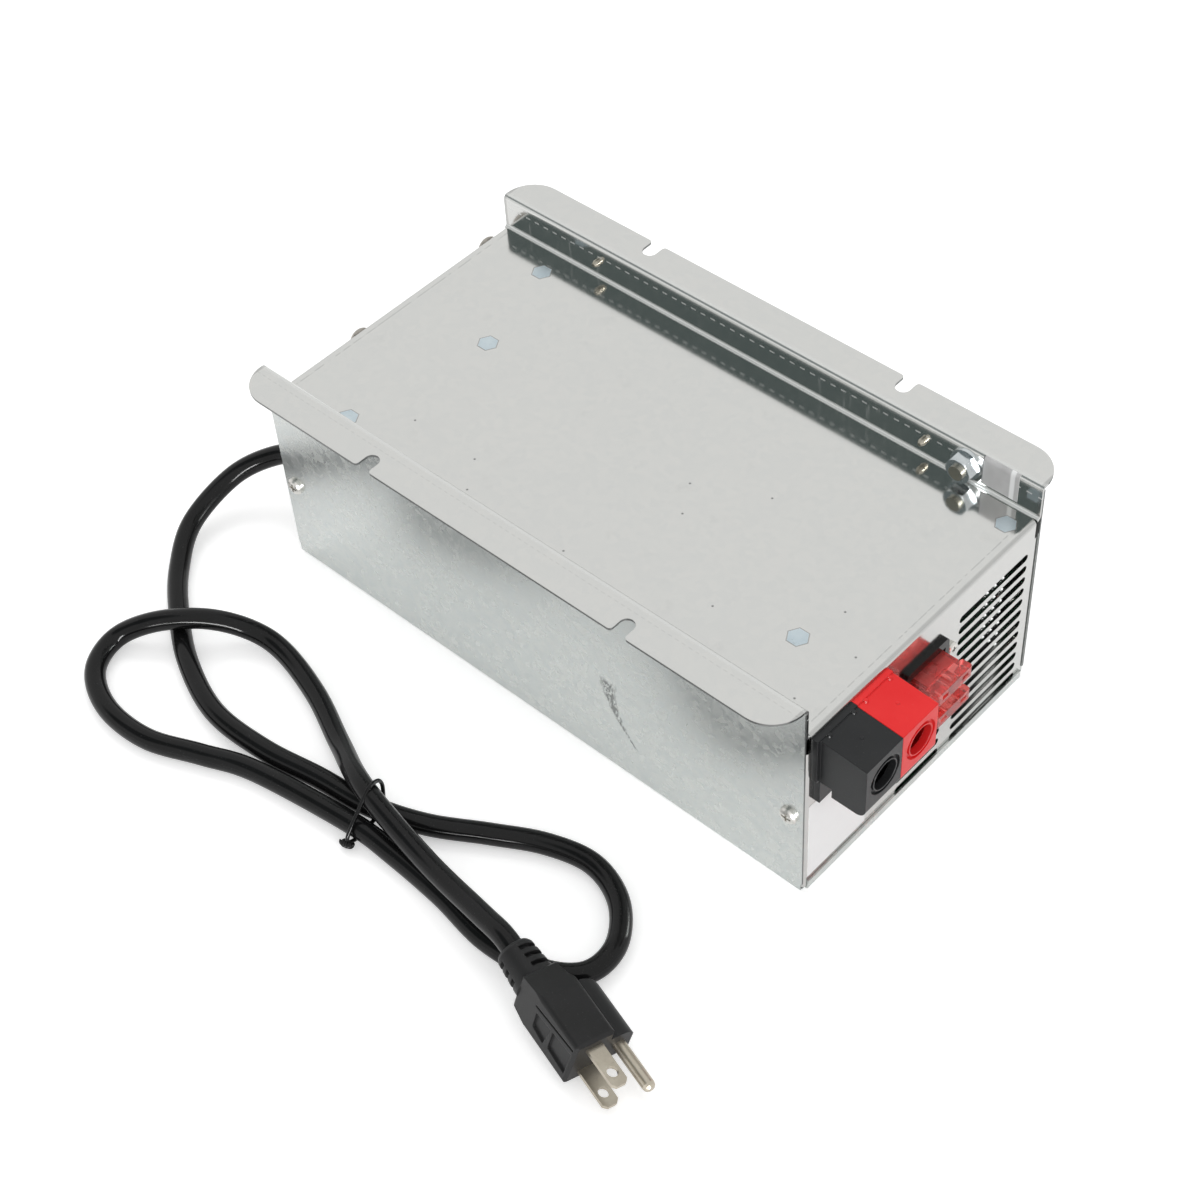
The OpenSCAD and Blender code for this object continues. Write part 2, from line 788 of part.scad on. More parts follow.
// The plug's block seen along Y, and seen along Z
module plug_side_outline() {
    polygon([[plug_face, -9.8], [plug_face, 9.8], [plug_face - 1.2, 11], [-20, 11],
        [-31.2, 8.4], [-32, 7.4], [-32, -7.4], [-31.2, -8.4], [-20, -11],
        [plug_face - 1.2, -11]]);
}

module plug_top_outline() {
    polygon([[plug_face, -7], [plug_face, 7], [plug_face - 1, 8], [-22, 8], [-25, 6.6],
        [-32, 5.8], [-32, -6.6], [-31, -7.4], [-20, -8], [plug_face - 1, -8]]);
}

module plug_block() {
    intersection() {
        translate([0, 9, 0]) rotate([90, 0, 0]) linear_extrude(18) plug_side_outline();
        translate([0, 0, -12]) linear_extrude(24) plug_top_outline();
        along_x(-33, plug_face + 1) round_rect(16, 22, 2);
    }
}

// Rounded side that holds the ground pin
module plug_ground_side() {
    intersection() {
        along_x(-24, plug_face) {
            translate([plug_pin_y - 0.2, 0]) circle(6.3);
            translate([5, -6.3]) square([plug_pin_y - 5.2, 12.6]);
        }
        translate([0, 0, -8]) linear_extrude(16) polygon([[-23, 0], [-23, 11], [-21.5, 15.4],
            [-18.5, 18], [plug_face - 1.2, 18], [plug_face, 17], [plug_face, 0]]);
    }
}

// Flexible neck: windows are cut in it, and two strips are left along its corners
module plug_neck() {
    difference() {
        rotate([0, -90, 0]) rotate_extrude() polygon([[0, 31], [8, 31], [7.6, 36],
            [7.2, 41], [6.9, 44.4], [6.2, 45.6], [0, 45.6]]);
        for (x = [-43, -39.4, -35.6]) difference() {
            translate([x, -9, -9]) cube([1.8, 18, 18]);
            translate([x - 1, 0, 0]) rotate([0, 90, 0]) cylinder(4, r = 5);
            for (s = [-1, 1]) translate([x - 1, s * 5.6 - 4, -s * 5.6 - 4]) cube([4, 8, 8]);
        }
    }
}

module plug_body() {
    color("black") on_plug() difference() {
        union() {
            plug_block();
            plug_ground_side();
            plug_neck();
        }
        plug_grips();
        for (s = [-1, 1])
            translate([plug_root, -plug_blade_w / 2, s * plug_blade_pitch / 2 - 0.75])
                cube([12, plug_blade_w, 1.5]);
        translate([plug_root, plug_pin_y, 0]) rotate([0, 90, 0])
            cylinder(12, d = plug_pin_d);
    }
}

// Finger grip in the plug's flat side: a long groove and two sunk panels below it
module plug_grips() {
    depth = 0.8;
    translate([0, depth - 8, 0]) rotate([90, 0, 0]) linear_extrude(2 * depth) {
        polygon([[-21.5, 4.8], [-21.5, 5.6], [-0.2, 8], [-0.2, 7.2]]);
        polygon([[-20.2, 2.6], [-19.8, -4.8], [-13.4, -6.3], [-12, 3.6]]);
        polygon([[-10.9, 3.8], [-10.7, -5.2], [-0.6, -6.3], [-0.6, 5]]);
    }
}

module plug_blades() {
    color("silver") on_plug() for (s = [-1, 1])
        translate([0, 0, s * plug_blade_pitch / 2 - 0.75]) difference() {
            translate([plug_root, 0, 0]) linear_extrude(1.5)
                polygon([[0, -plug_blade_w / 2], [23.6, -plug_blade_w / 2],
                    [25, 1.4 - plug_blade_w / 2], [25, plug_blade_w / 2 - 1.4],
                    [23.6, plug_blade_w / 2], [0, plug_blade_w / 2]]);
            translate([11.6, 0, -1]) cylinder(4, d = 4);
        }
}

module plug_ground_pin() {
    color("silver") on_plug() translate([plug_root, plug_pin_y, 0]) rotate([0, 90, 0])
        rotate_extrude() polygon([[0, 0], [plug_pin_d / 2, 0], [plug_pin_d / 2, 26.4],
            [2.1, 27.5], [1.4, 28.2], [0, 28.5]]);
}

// Terminals

module cover_body_section() {
    foot_r = 4;
    polygon([[half_len + cover_flange_t, cover_low_z + foot_r],
        [half_len + cover_flange_t, cover_top_z], [cover_end_x, cover_top_z - 1.4],
        [cover_end_x, cover_low_z + foot_r]]);
    translate([half_len + cover_flange_t, cover_low_z])
        square([cover_end_x - foot_r - half_len - cover_flange_t, 24]);
    translate([cover_end_x - foot_r, cover_low_z + foot_r]) circle(foot_r);
}

// Boot over one terminal: a flange on the panel, with an ear on its outer side, and
// a hollow body with a cable hole in a round groove
module terminal_cover(y, ear) {
    wall = 1.6;
    side_y = -10.1;
    translate([0, y, 0]) difference() {
        union() {
            along_x(half_len, half_len + cover_flange_t) polygon([[-10.5 - ear, 82.8],
                [9, 82.8], [9, 49], [-10.1, 49], [-10.1, 61.5], [-10.5 - ear, 61.5]]);
            translate([0, side_y + cover_body_w / 2, 0]) across_y(cover_body_w)
                cover_body_section();
            for (s = [-1, 1]) translate([half_len + 3, s * 6.4 - 0.1, 82.1])
                cylinder(0.8, 1.1, 0.7, $fn = 24);
            translate([141.3, 0, 81.4]) cylinder(0.3, r = 0.7);
        }
        translate([half_len - 1, side_y + wall, cover_low_z + wall])
            cube([13 + wall + 5, cover_body_w - 2 * wall, 24.6 - 2 * wall]);
        translate([half_len, 0, terminal_z]) rotate([0, 90, 0])
            cylinder(30, d = cable_hole_d);
        translate([cover_end_x - 1, 0, terminal_z]) rotate([0, 90, 0]) difference() {
            cylinder(2, r = 7.8);
            translate([0, 0, -1]) cylinder(4, r = 6.4);
        }
        translate([half_len + cover_flange_t, -12, 55]) cube([5, 5, 5.4]);
    }
}

module negative_terminal_cover() {
    color("darkslategray") in_case() terminal_cover(negative_y, 1.3);
}

module positive_terminal_cover() {
    color("red") in_case() terminal_cover(negative_y + terminal_pitch, -0.4);
}

module terminal_block() {
    block_w = terminal_pitch + lug_w + 8;
    color("black") in_case() along_x(panel_in - 10, panel_in)
        translate([negative_y + terminal_pitch / 2, terminal_z]) difference() {
            square([block_w, 20], center = true);
            for (s = [-1, 1]) translate([s * terminal_pitch / 2, 0])
                square([lug_w, lug_h], center = true);
        }
}

module terminal_lugs() {
    color("silver") in_case() for (y = terminal_ys) translate([0, y, terminal_z])
        difference() {
            translate([lug_x[0], -lug_w / 2, -lug_h / 2])
                cube([lug_x[1] - lug_x[0], lug_w, lug_h]);
            translate([lug_x[1] - lug_bore_l, 0, 0]) rotate([0, 90, 0])
                cylinder(lug_bore_l + 1, d = lug_bore_d);
            translate([lug_screw_x, 0, 0]) cylinder(lug_h, r = lug_screw_r);
        }
}

module lug_screws() {
    color("dimgray") in_case() for (y = terminal_ys)
        translate([lug_screw_x, y, terminal_z + lug_bore_d / 2 + 0.3]) difference() {
            cylinder(3.4, r = lug_screw_r);
            translate([-4, -0.5, 2.2]) cube([8, 1, 3]);
        }
}

module busbars() {
    color("peru") in_case() for (y = terminal_ys)
        translate([104, y - 5, board_under - 1.5]) cube([lug_x[0] - 104, 10, 1.5]);
}

// Fuses in their panel holder

module fuse_holder() {
    color("black") in_case() translate([0, fuse_y, 0]) difference() {
        union() {
            along_x(half_len, half_len + 1.8) translate([0, fuse_z]) round_rect(24, 25.5, 2);
            along_x(board_notch_x, half_len + eps) translate([0, fuse_z])
                square([21, 20.6], center = true);
        }
        for (z = fuse_zs) translate([0, 0, z]) {
            translate([fuse_pocket_x, -fuse_w / 2 - 0.2, -fuse_t / 2 - 0.2])
                cube([4, fuse_w + 0.4, fuse_t + 0.4]);
            for (s = [-1, 1])
                translate([fuse_pocket_x - 8, s * fuse_blade_y - 2.7, -0.4])
                    cube([9, 5.4, 0.8]);
        }
    }
}

module fuse_straps() {
    color("peru") in_case() for (s = [-1, 1])
        translate([board_notch_x - 1.5, fuse_y + s * fuse_blade_y - 2.5, 50])
            cube([1.5, 5, board_under - 50]);
}

// Blade fuse housing: a wide head, a narrower waist and a barrel over the link
module fuse_housings() {
    color([0.85, 0.1, 0.12, 0.6]) in_case() for (z = fuse_zs)
        translate([fuse_pocket_x, fuse_y, z]) difference() {
            union() {
                linear_extrude(fuse_t, center = true) {
                    translate([4.5, 0]) square([9, 16.6], center = true);
                    translate([10.75, 0]) round_rect(4.5, fuse_w, 0.8);
                }
                rotate([0, 90, 0]) intersection() {
                    translate([0, 0, 2.4]) cylinder(9.6, r = 3.3);
                    translate([-3.3, -4, 0]) cube([6.6, 8, 12]);
                }
            }
            translate([-1, -8, -0.5]) cube([8, 16, 1]);
            for (s = [-1, 1]) translate([11.4, s * 5.6, 0])
                cube([4, 3.4, 2], center = true);
        }
}

// Stamped link of a fuse: two blades joined by a thin arch
module fuse_elements() {
    color("silver") in_case() for (z = fuse_zs)
        translate([fuse_pocket_x, fuse_y, z]) linear_extrude(0.7, center = true) {
            for (s = [-1, 1])
                translate([-0.5, s * fuse_blade_y]) square([14, 5.1], center = true);
            translate([4.6, 0]) difference() {
                square([2.4, 8], center = true);
                translate([-1.2, 0]) circle(1.5);
            }
        }
}

module panel_screw() {
    color("silver") in_case() translate([half_len, panel_screw_at.x, panel_screw_at.y])
        rotate([0, 90, 0]) pan_screw(2.4, 1.9, 1.5, 6);
}

chassis();
cover();
cover_screws();
side_screws();
board_standoffs();
board_screws();
circuit_board();
transformer_core();
transformer_winding();
input_capacitors();
output_capacitors();
heat_sinks();
power_transistors();
output_choke();
line_choke();
bridge_rectifier();
control_board();
mains_terminal_block();
mains_leads();
fan_frame();
fan_stator();
fan_rotor();
fan_screws();
fan_leads();
cord_strain_relief();
power_cord();
cord_tie();
plug_body();
plug_blades();
plug_ground_pin();
negative_terminal_cover();
positive_terminal_cover();
terminal_block();
terminal_lugs();
lug_screws();
busbars();
fuse_holder();
fuse_straps();
fuse_housings();
fuse_elements();
panel_screw();
ground_bolt();
ground_nut();
ground_label();
panel_label();
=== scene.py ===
# %% [markdown]
# # Dressing a power converter charger
#
# A power converter turns mains current into the low direct current of a battery.
# This one is a folded sheet-metal case that lies on its cover, with its two mounting
# flanges up and its mains cord beside it. The solids come from the packed CAD model
# as a fixed frame. This lesson sets up the view, makes the soft and the rounded
# pieces as surfaces that numpy works out, and gives every solid a finish made of
# shader nodes. Lengths are in metres, in the frame that the CAD model uses.

# %% Load the frame
import bpy
import numpy as np
from mathutils import Matrix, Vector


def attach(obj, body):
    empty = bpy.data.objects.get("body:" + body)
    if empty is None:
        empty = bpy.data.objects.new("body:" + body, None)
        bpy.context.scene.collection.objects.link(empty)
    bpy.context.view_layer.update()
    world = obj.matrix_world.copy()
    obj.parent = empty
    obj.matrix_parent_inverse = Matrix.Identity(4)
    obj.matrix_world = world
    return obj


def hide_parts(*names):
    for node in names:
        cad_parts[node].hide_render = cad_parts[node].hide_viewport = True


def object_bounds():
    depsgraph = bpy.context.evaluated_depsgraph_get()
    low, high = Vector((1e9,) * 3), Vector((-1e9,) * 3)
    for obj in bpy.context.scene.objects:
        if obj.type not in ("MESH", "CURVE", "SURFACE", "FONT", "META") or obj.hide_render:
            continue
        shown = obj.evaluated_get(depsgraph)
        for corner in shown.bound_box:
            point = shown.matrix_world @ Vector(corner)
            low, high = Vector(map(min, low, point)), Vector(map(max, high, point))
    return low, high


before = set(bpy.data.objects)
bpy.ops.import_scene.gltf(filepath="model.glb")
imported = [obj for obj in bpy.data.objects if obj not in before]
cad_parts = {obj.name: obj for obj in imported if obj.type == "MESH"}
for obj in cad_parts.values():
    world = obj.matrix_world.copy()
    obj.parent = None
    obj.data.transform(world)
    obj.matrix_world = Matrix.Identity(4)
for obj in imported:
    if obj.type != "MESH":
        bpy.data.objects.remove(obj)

MM = 0.001
CASE_X = -2.7 * MM    # middle of the case along X
cad_low, cad_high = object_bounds()
print("solids:", len(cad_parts), "box", [round(v, 4) for v in cad_high - cad_low])

# %% [markdown]
# ## The camera
#
# The view of a photograph can be found by fitting a pinhole camera to corners whose
# place on the object is known. The fit gave a place, three axes and a focal length.
# The axes go straight into the camera's matrix, which is surer than aiming it with
# angles, because the photograph is turned a few degrees about its own centre too.

# %% Place the camera
view_data = bpy.data.cameras.new("view")
view_data.lens = 69.55
view_data.sensor_width = 36
view_data.clip_start = 0.01
view_camera = bpy.data.objects.new("view", view_data)
bpy.context.collection.objects.link(view_camera)
view_right = (0.7378, 0.6730, -0.0515)
view_up = (-0.4740, 0.5710, 0.6703)
view_back = (0.4806, -0.4701, 0.7403)
view_place = (0.4177, -0.4378, 0.6760)
columns = np.array([view_right, view_up, view_back, view_place]).T
view_camera.matrix_world = Matrix(np.vstack([columns, (0, 0, 0, 1)]).tolist())
bpy.context.scene.camera = view_camera
print("camera at", view_place, "lens", view_data.lens)

# %% [markdown]
# ## Surfaces from numpy
#
# Every new piece here is a grid of points, worked out as whole arrays from two
# parameters: one runs along the piece and one runs round it. One function turns such
# a grid into a closed mesh with a UV map. Building the faces once, from index
# arithmetic, leaves each piece's own function free to hold only its formula.

# %% Turn a grid into a piece
def grid_piece(name, points, body, length=1.0):
    """Closed tube from points[ring, corner]: quads between neighbouring rings, a fan
    of triangles to the middle of each end. The UV map runs along the rings (0 to
    length) and round them (0 to 1)."""
    rings, sides, _ = points.shape
    ring, side = np.meshgrid(np.arange(rings - 1), np.arange(sides), indexing="ij")
    after = (side + 1) % sides
    quads = np.stack([ring * sides + side, ring * sides + after,
                      (ring + 1) * sides + after, (ring + 1) * sides + side], -1)
    ends = np.stack([points[0].mean(0), points[-1].mean(0)])
    corners = np.vstack([points.reshape(-1, 3), ends])
    first, last = rings * sides, rings * sides + 1
    k = np.arange(sides)
    k_next = (k + 1) % sides
    low_fan = np.stack([np.full(sides, first), k_next, k], -1)
    high_fan = np.stack([np.full(sides, last), k + (rings - 1) * sides,
                         k_next + (rings - 1) * sides], -1)
    faces = quads.reshape(-1, 4).tolist() + low_fan.tolist() + high_fan.tolist()
    mesh = bpy.data.meshes.new(name)
    mesh.from_pydata(corners.tolist(), [], faces)
    u = np.linspace(0, length, rings)
    quad_u = np.stack([u[ring], u[ring], u[ring + 1], u[ring + 1]], -1)
    quad_v = np.stack([side, side + 1, side + 1, side], -1) / sides
    low_v = np.stack([k + 0.5, k + 1, k], -1) / sides
    high_v = np.stack([k + 0.5, k, k + 1], -1) / sides
    flat_u = np.concatenate([quad_u.ravel(), np.zeros(3 * sides),
                             np.full(3 * sides, length)])
    flat_v = np.concatenate([quad_v.ravel(), low_v.ravel(), high_v.ravel()])
    layer = mesh.uv_layers.new(name="along_and_round")
    layer.data.foreach_set("uv", np.stack([flat_u, flat_v], -1).ravel())
    mesh.shade_smooth()
    piece = bpy.data.objects.new(name, mesh)
    bpy.context.collection.objects.link(piece)
    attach(piece, body)
    print(name, "faces:", len(mesh.polygons))
    return piece


# %% Follow a route smoothly
def smooth_route(points, steps):
    """Catmull-Rom curve: between two route points b and c, with neighbours a and d,
    0.5 (2b + (c - a) t + (2a - 5b + 4c - d) t^2 + (3b - a - 3c + d) t^3)."""
    p = np.asarray(points, float)
    a, b = np.vstack([p[:1], p[:-2]]), p[:-1]
    c, d = p[1:], np.vstack([p[2:], p[-1:]])
    t = (np.arange(steps) / steps)[None, :, None]
    a, b, c, d = (q[:, None, :] for q in (a, b, c, d))
    curve = 0.5 * (2 * b + (c - a) * t + (2 * a - 5 * b + 4 * c - d) * t ** 2
                   + (3 * b - a - 3 * c + d) * t ** 3)
    return np.vstack([curve.reshape(-1, 3), p[-1:]])


bent = smooth_route([[0, 0, 0], [1, 0, 0], [1, 1, 0]], 2)
print("halfway round a bend:", bent[1].round(3).tolist(), bent[3].round(3).tolist())


# %% Square axes along a route
def cross_frames(line, up):
    """Two unit vectors square to the line at each point: up x heading, made unit,
    and heading x that."""
    heading = np.gradient(line, axis=0)
    heading /= np.linalg.norm(heading, axis=1, keepdims=True)
    side = np.cross(np.asarray(up, float), heading)
    side /= np.linalg.norm(side, axis=1, keepdims=True)
    return side, np.cross(heading, side)


side_at, up_at = cross_frames(bent, (0, 0, 1))
print("square to its end:", side_at[-1].round(3).tolist(), up_at[-1].round(3).tolist())


# %% [markdown]
# ## The mains cord
#
# A mains cord is a round jacket of soft PVC over three twisted cores. It could be a
# curve with a round bevel, but a grid lets the jacket show the cores faintly: they
# press three shallow ridges through it that wind once in about 60 mm. The route is
# the CAD model's own, repeated in millimetres from the case's centre: out of the
# strain relief, round the left end, into a figure of eight, and up into the plug.

# %% Repeat the cord's route
cord_points = np.array([
    [-143.5, -45, 28], [-157, -49, 24.5], [-169, -64, 17], [-169.5, -88, 8.5],
    [-157, -107, 4.6], [-139.5, -122.3, 4.3], [-117, -137, 4.3], [-90, -147, 4.3],
    [-62, -147.2, 4.3], [-36, -143, 4.5], [-11, -140.4, 5.8], [10, -132.4, 4.6],
    [30, -120.6, 4.3], [49, -110.5, 4.3], [68, -106.2, 4.3], [85.5, -112.3, 4.3],
    [97, -126.5, 4.3], [96.5, -141.3, 4.3], [83, -150.8, 4.3], [61, -154, 4.3],
    [36, -150.8, 4.3], [11, -149.4, 4.6], [-11, -150.2, 5.8], [-56, -156, 4.3],
    [-78, -164, 4.3], [-100, -172.4, 4.3], [-123, -172.4, 4.3], [-141, -163.6, 4.4],
    [-147.4, -148.5, 5.2], [-137.5, -136, 11.4], [-122, -122.5, 13],
    [-108, -112.4, 8.2], [-92, -109.8, 4.8], [-66, -116.4, 4.4], [-40, -128, 6.6],
    [-13, -140, 14.4], [26, -147.6, 13.2], [58, -152.8, 17.2], [72, -155.2, 19.4],
    [82.2, -157.8, 18.1]]) * MM + (CASE_X, 0, 0)
cord_line = smooth_route(cord_points, 10)
cord_steps = np.linalg.norm(np.diff(cord_line, axis=0), axis=1)
cord_along = np.concatenate([[0], np.cumsum(cord_steps)])
cord_length = float(cord_along[-1])
print("cord length", round(cord_length, 4))


# %% Make the cord
def cord_surface(line, along, radius, sides=28):
    """Point = line + r (cos a side + sin a up), with r = radius - 0.02 mm times
    1 - cos(3 a - 2 pi s / 60 mm), the faint print of three twisted cores."""
    side, up = cross_frames(line, (0, 0, 1))
    angle = np.linspace(0, 2 * np.pi, sides, endpoint=False)[None, :]
    turns = along[:, None] / (60 * MM)
    print_of_cores = 1 - np.cos(3 * angle - 2 * np.pi * turns)
    r = (radius - 0.02 * MM * print_of_cores)[..., None]
    ring = (np.cos(angle)[..., None] * side[:, None]
            + np.sin(angle)[..., None] * up[:, None])
    return line[:, None] + r * ring


cord_radius = 4.2 * MM
mains_cord = grid_piece("mains_cord", cord_surface(cord_line, cord_along, cord_radius),
                        "converter", cord_length)
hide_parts("power_cord")

# %% [markdown]
# ## The wire tie
#
# The three runs are held together by a plastic-covered wire, laid round them and
# twisted at its ends. The loop is a tube that leans as it does in the photograph. The
# twisted tail is two more tubes, and each winds round one short line, half a turn
# apart, as two strands do when fingers turn them.

# %% Lay the tie round the cord
tie_points = np.array([
    [-156.2, 4.4], [-155.2, 3.2], [-153.4, 2], [-150.2, 1], [-145.3, 1], [-140.4, 1],
    [-136.8, 2.4], [-135.3, 6], [-134.6, 10.2], [-134.5, 14.4], [-136, 18],
    [-139.6, 19.5], [-142.8, 18.4], [-148.1, 14], [-152.6, 10.4], [-155.4, 7.4],
    [-156.4, 5.6]])
tie_radius, tie_lean = 0.8 * MM, 0.14
tie_across = -9.4 - tie_lean * (tie_points[:, 0] + 135)
tie_route = np.column_stack([tie_across, tie_points]) * MM + (CASE_X, 0, 0)
tie_line = smooth_route(tie_route, 8)


def wire_surface(line, radius, up, sides=12):
    """Point = line + radius (cos a side + sin a up): a plain round wire."""
    side, up = cross_frames(line, up)
    angle = np.linspace(0, 2 * np.pi, sides, endpoint=False)[None, :, None]
    return line[:, None] + radius * (np.cos(angle) * side[:, None]
                                     + np.sin(angle) * up[:, None])


tie_loop = grid_piece("tie_loop", wire_surface(tie_line, tie_radius, (1, 0, 0)),
                      "converter")
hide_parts("cord_tie")


# %% Twist its tail
def strand_line(middle, reach, turns, start):
    """Helix round a line: line + reach (cos a side + sin a up), with a from start and
    growing by turns * 2 pi over the line."""
    side, up = cross_frames(middle, (0, 0, 1))
    angle = (start + 2 * np.pi * turns * np.linspace(0, 1, len(middle)))[:, None]
    return middle + reach * (np.cos(angle) * side + np.sin(angle) * up)


tail_points = np.array([[-4.6, -156, 3.6], [-6.2, -156.6, 3.1], [-7.8, -156.8, 2.8],
                        [-9.4, -156.4, 2.6]])
tail_middle = smooth_route(tail_points * MM + (CASE_X, 0, 0), 12)
strand_reach, strand_radius, strand_turns = 0.75 * MM, 0.72 * MM, 2.2
tie_pieces = [tie_loop]
for k in range(2):
    strand = strand_line(tail_middle, strand_reach, strand_turns, k * np.pi)
    surface = wire_surface(strand, strand_radius, (0, 0, 1))
    tie_pieces.append(grid_piece(f"tie_tail_{k + 1}", surface, "converter"))

# %% [markdown]
# ## The fan's screw heads
#
# Four broad pan heads hold the fan, and two of them look out past the end of the base
# plate. A head is a surface of turning with a cross pressed into its top, so it is a
# height over a ring and an angle: an ellipse of height, less the depth of the cross
# where the point falls inside one of its two bars.

# %% Press the cross into a turned head
def head_surface(centre, radius, height, sides=48):
    """Point = centre - x h + y r cos a - z r sin a, with r, h, radius and height in
    millimetres. Inside the rim, which is 1.2 high, h = 1.2 + (height - 1.2)
    sqrt(1 - (r / radius)^2) - 1.5 cross. The cross is 1 within 0.4 of either axis and
    2.2 of the middle, and falls to 0 over the next 0.2."""
    rim, depth = 1.2, 1.5
    skirt = np.array([[4.2, 0.0], [4.2, 0.9], [0.99 * radius, 0.95], [radius, rim]])
    r_top = radius * np.sin(np.linspace(0.5 * np.pi, 0.02, 26))[1:]
    h_top = rim + (height - rim) * np.sqrt(1 - (r_top / radius) ** 2)
    r = np.concatenate([skirt[:, 0], r_top])[:, None]
    h = np.concatenate([skirt[:, 1], h_top])[:, None]
    angle = np.linspace(0, 2 * np.pi, sides, endpoint=False)[None, :]
    across, along = np.abs(r * np.cos(angle)), np.abs(r * np.sin(angle))
    thin, long = np.minimum(across, along), np.maximum(across, along)
    cross = np.clip((0.6 - thin) / 0.2, 0, 1) * np.clip((2.4 - long) / 0.2, 0, 1)
    h = h - depth * cross * (h > rim + 0.1)
    offset = np.stack([-h, r * np.cos(angle), -r * np.sin(angle)], -1)
    return np.asarray(centre) + offset * MM


print("points of one head:", head_surface((0, 0, 0), 5.2, 4.3).shape)


# %% Set four heads on the fan panel
HALF_LENGTH = 130 * MM    # from the middle of the case to its end panels' outer faces
fan_y, fan_z, half_pitch = 18.5 * MM, 43.3 * MM, 71.5 * MM / 2
head_radius, head_height = 5.2, 4.3
fan_heads = []
for sy in (-1, 1):
    for sz in (-1, 1):
        seat = (CASE_X - HALF_LENGTH, fan_y + sy * half_pitch, fan_z + sz * half_pitch)
        fan_heads.append(grid_piece(f"fan_screw_head_{len(fan_heads) + 1}",
                                    head_surface(seat, head_radius, head_height),
                                    "converter"))

# %% [markdown]
# ## Shader maths as Python expressions
#
# A finish is mostly arithmetic on noise: more dirt here, less gloss there. Wiring
# Math nodes by hand hides the formula, so a small class wraps one output socket and
# gives it Python's operators. Each operation adds its Math node, and an expression
# such as `0.3 + 0.2 * mottle` reads as it works. Every other node comes from one
# method that takes the node's type, its settings and its sockets.

# %% A socket with operators
class Wire:
    """An output socket of a finish, with the operators that this lesson uses."""

    def __init__(self, finish, socket):
        self.finish = finish
        self.socket = socket

    def _math(self, operation, *values, clamp=False):
        settings = {"operation": operation, "use_clamp": clamp}
        return self.finish.node("ShaderNodeMath", settings, dict(enumerate(values)))

    def __add__(self, other): return self._math("ADD", self, other)
    def __sub__(self, other): return self._math("SUBTRACT", self, other)
    def __mul__(self, other): return self._math("MULTIPLY", self, other)
    def __truediv__(self, other): return self._math("DIVIDE", self, other)
    def __gt__(self, other): return self._math("GREATER_THAN", self, other)
    def __lt__(self, other): return self._math("LESS_THAN", self, other)
    def __radd__(self, other): return self._math("ADD", other, self)
    def __rsub__(self, other): return self._math("SUBTRACT", other, self)
    def __rmul__(self, other): return self._math("MULTIPLY", other, self)
    def __abs__(self): return self._math("ABSOLUTE", self)
    def top(self, other): return self._math("MAXIMUM", self, other)
    def clamp(self): return self._math("ADD", self, 0.0, clamp=True)
    def wave(self): return self._math("SINE", self)


print("Wire has", sum(callable(entry) for entry in vars(Wire).values()), "operations")


# %% A node tree and its one node method
class NodeTree:
    """A node tree whose nodes are made, set and linked by one method."""

    def __init__(self, tree):
        self.tree = tree

    def feed(self, socket, value):
        if isinstance(value, Wire):
            self.tree.links.new(value.socket, socket)
        else:
            socket.default_value = value

    def node(self, kind, settings=None, sockets=None, output=0):
        made = self.tree.nodes.new(kind)
        for label, value in (settings or {}).items():
            setattr(made, label, value)
        for label, value in (sockets or {}).items():
            self.feed(made.inputs[label], value)
        return Wire(self, made.outputs[output])


class Finish(NodeTree):
    """A material with a Principled shader, whose constants sit on its own sockets."""

    def __init__(self, name, **constants):
        self.material = bpy.data.materials.new(name)
        self.material.use_nodes = True
        super().__init__(self.material.node_tree)
        self.shader = self.tree.nodes["Principled BSDF"]
        self.drive(**constants)

    def drive(self, **links):
        for label, value in links.items():
            self.feed(self.shader.inputs[label.replace("_", " ")], value)
        return self.material


print("a Finish is a", Finish.__mro__[1].__name__, "with a Principled shader")


# %% Colours and coordinates
def colour(red, green, blue):
    """Linear colour of a display colour from 0 to 255: ((c + 0.055) / 1.055) ^ 2.4."""
    c = np.array([red, green, blue]) / 255
    linear = np.where(c < 0.04045, c / 12.92, ((c + 0.055) / 1.055) ** 2.4)
    return (*linear.tolist(), 1.0)


def place(f, scale=(1, 1, 1), turn=(0, 0, 0)):
    """The object's own coordinates, turned and stretched by a Mapping node."""
    where = f.node("ShaderNodeTexCoord", output="Object")
    return f.node("ShaderNodeMapping", {},
                  {"Vector": where, "Scale": scale, "Rotation": turn})


def axes(f, vector):
    """The three numbers of a vector, each as a Wire."""
    first = f.node("ShaderNodeSeparateXYZ", {}, {0: vector})
    outputs = first.socket.node.outputs
    return tuple(Wire(f, outputs[k]) for k in range(3))


print("display grey 128 in linear light:", round(colour(128, 128, 128)[0], 3))


# %% Noise and cells
def noise(f, vector, scale, detail=3.0, rough=0.5):
    """Soft noise from 0 to 1, with scale features per metre of vector."""
    return f.node("ShaderNodeTexNoise", {}, {"Vector": vector, "Scale": scale,
                  "Detail": detail, "Roughness": rough})


def cells(f, vector, scale, feature="F1", output=0, sizes="3D"):
    """Voronoi cells: output 0 is the distance to a cell's point, 1 its own colour."""
    settings = {"feature": feature, "voronoi_dimensions": sizes}
    return f.node("ShaderNodeTexVoronoi", settings,
                  {"Vector": vector, "Scale": scale}, output)


print("patterns:", [pattern.__name__ for pattern in (noise, cells)])


# %% Mixes, bumps and masks
def mixed(f, factor, a, b):
    """Colour a where factor is 0, colour b where it is 1."""
    return f.node("ShaderNodeMix", {"data_type": "RGBA"}, {0: factor, 6: a, 7: b}, 2)


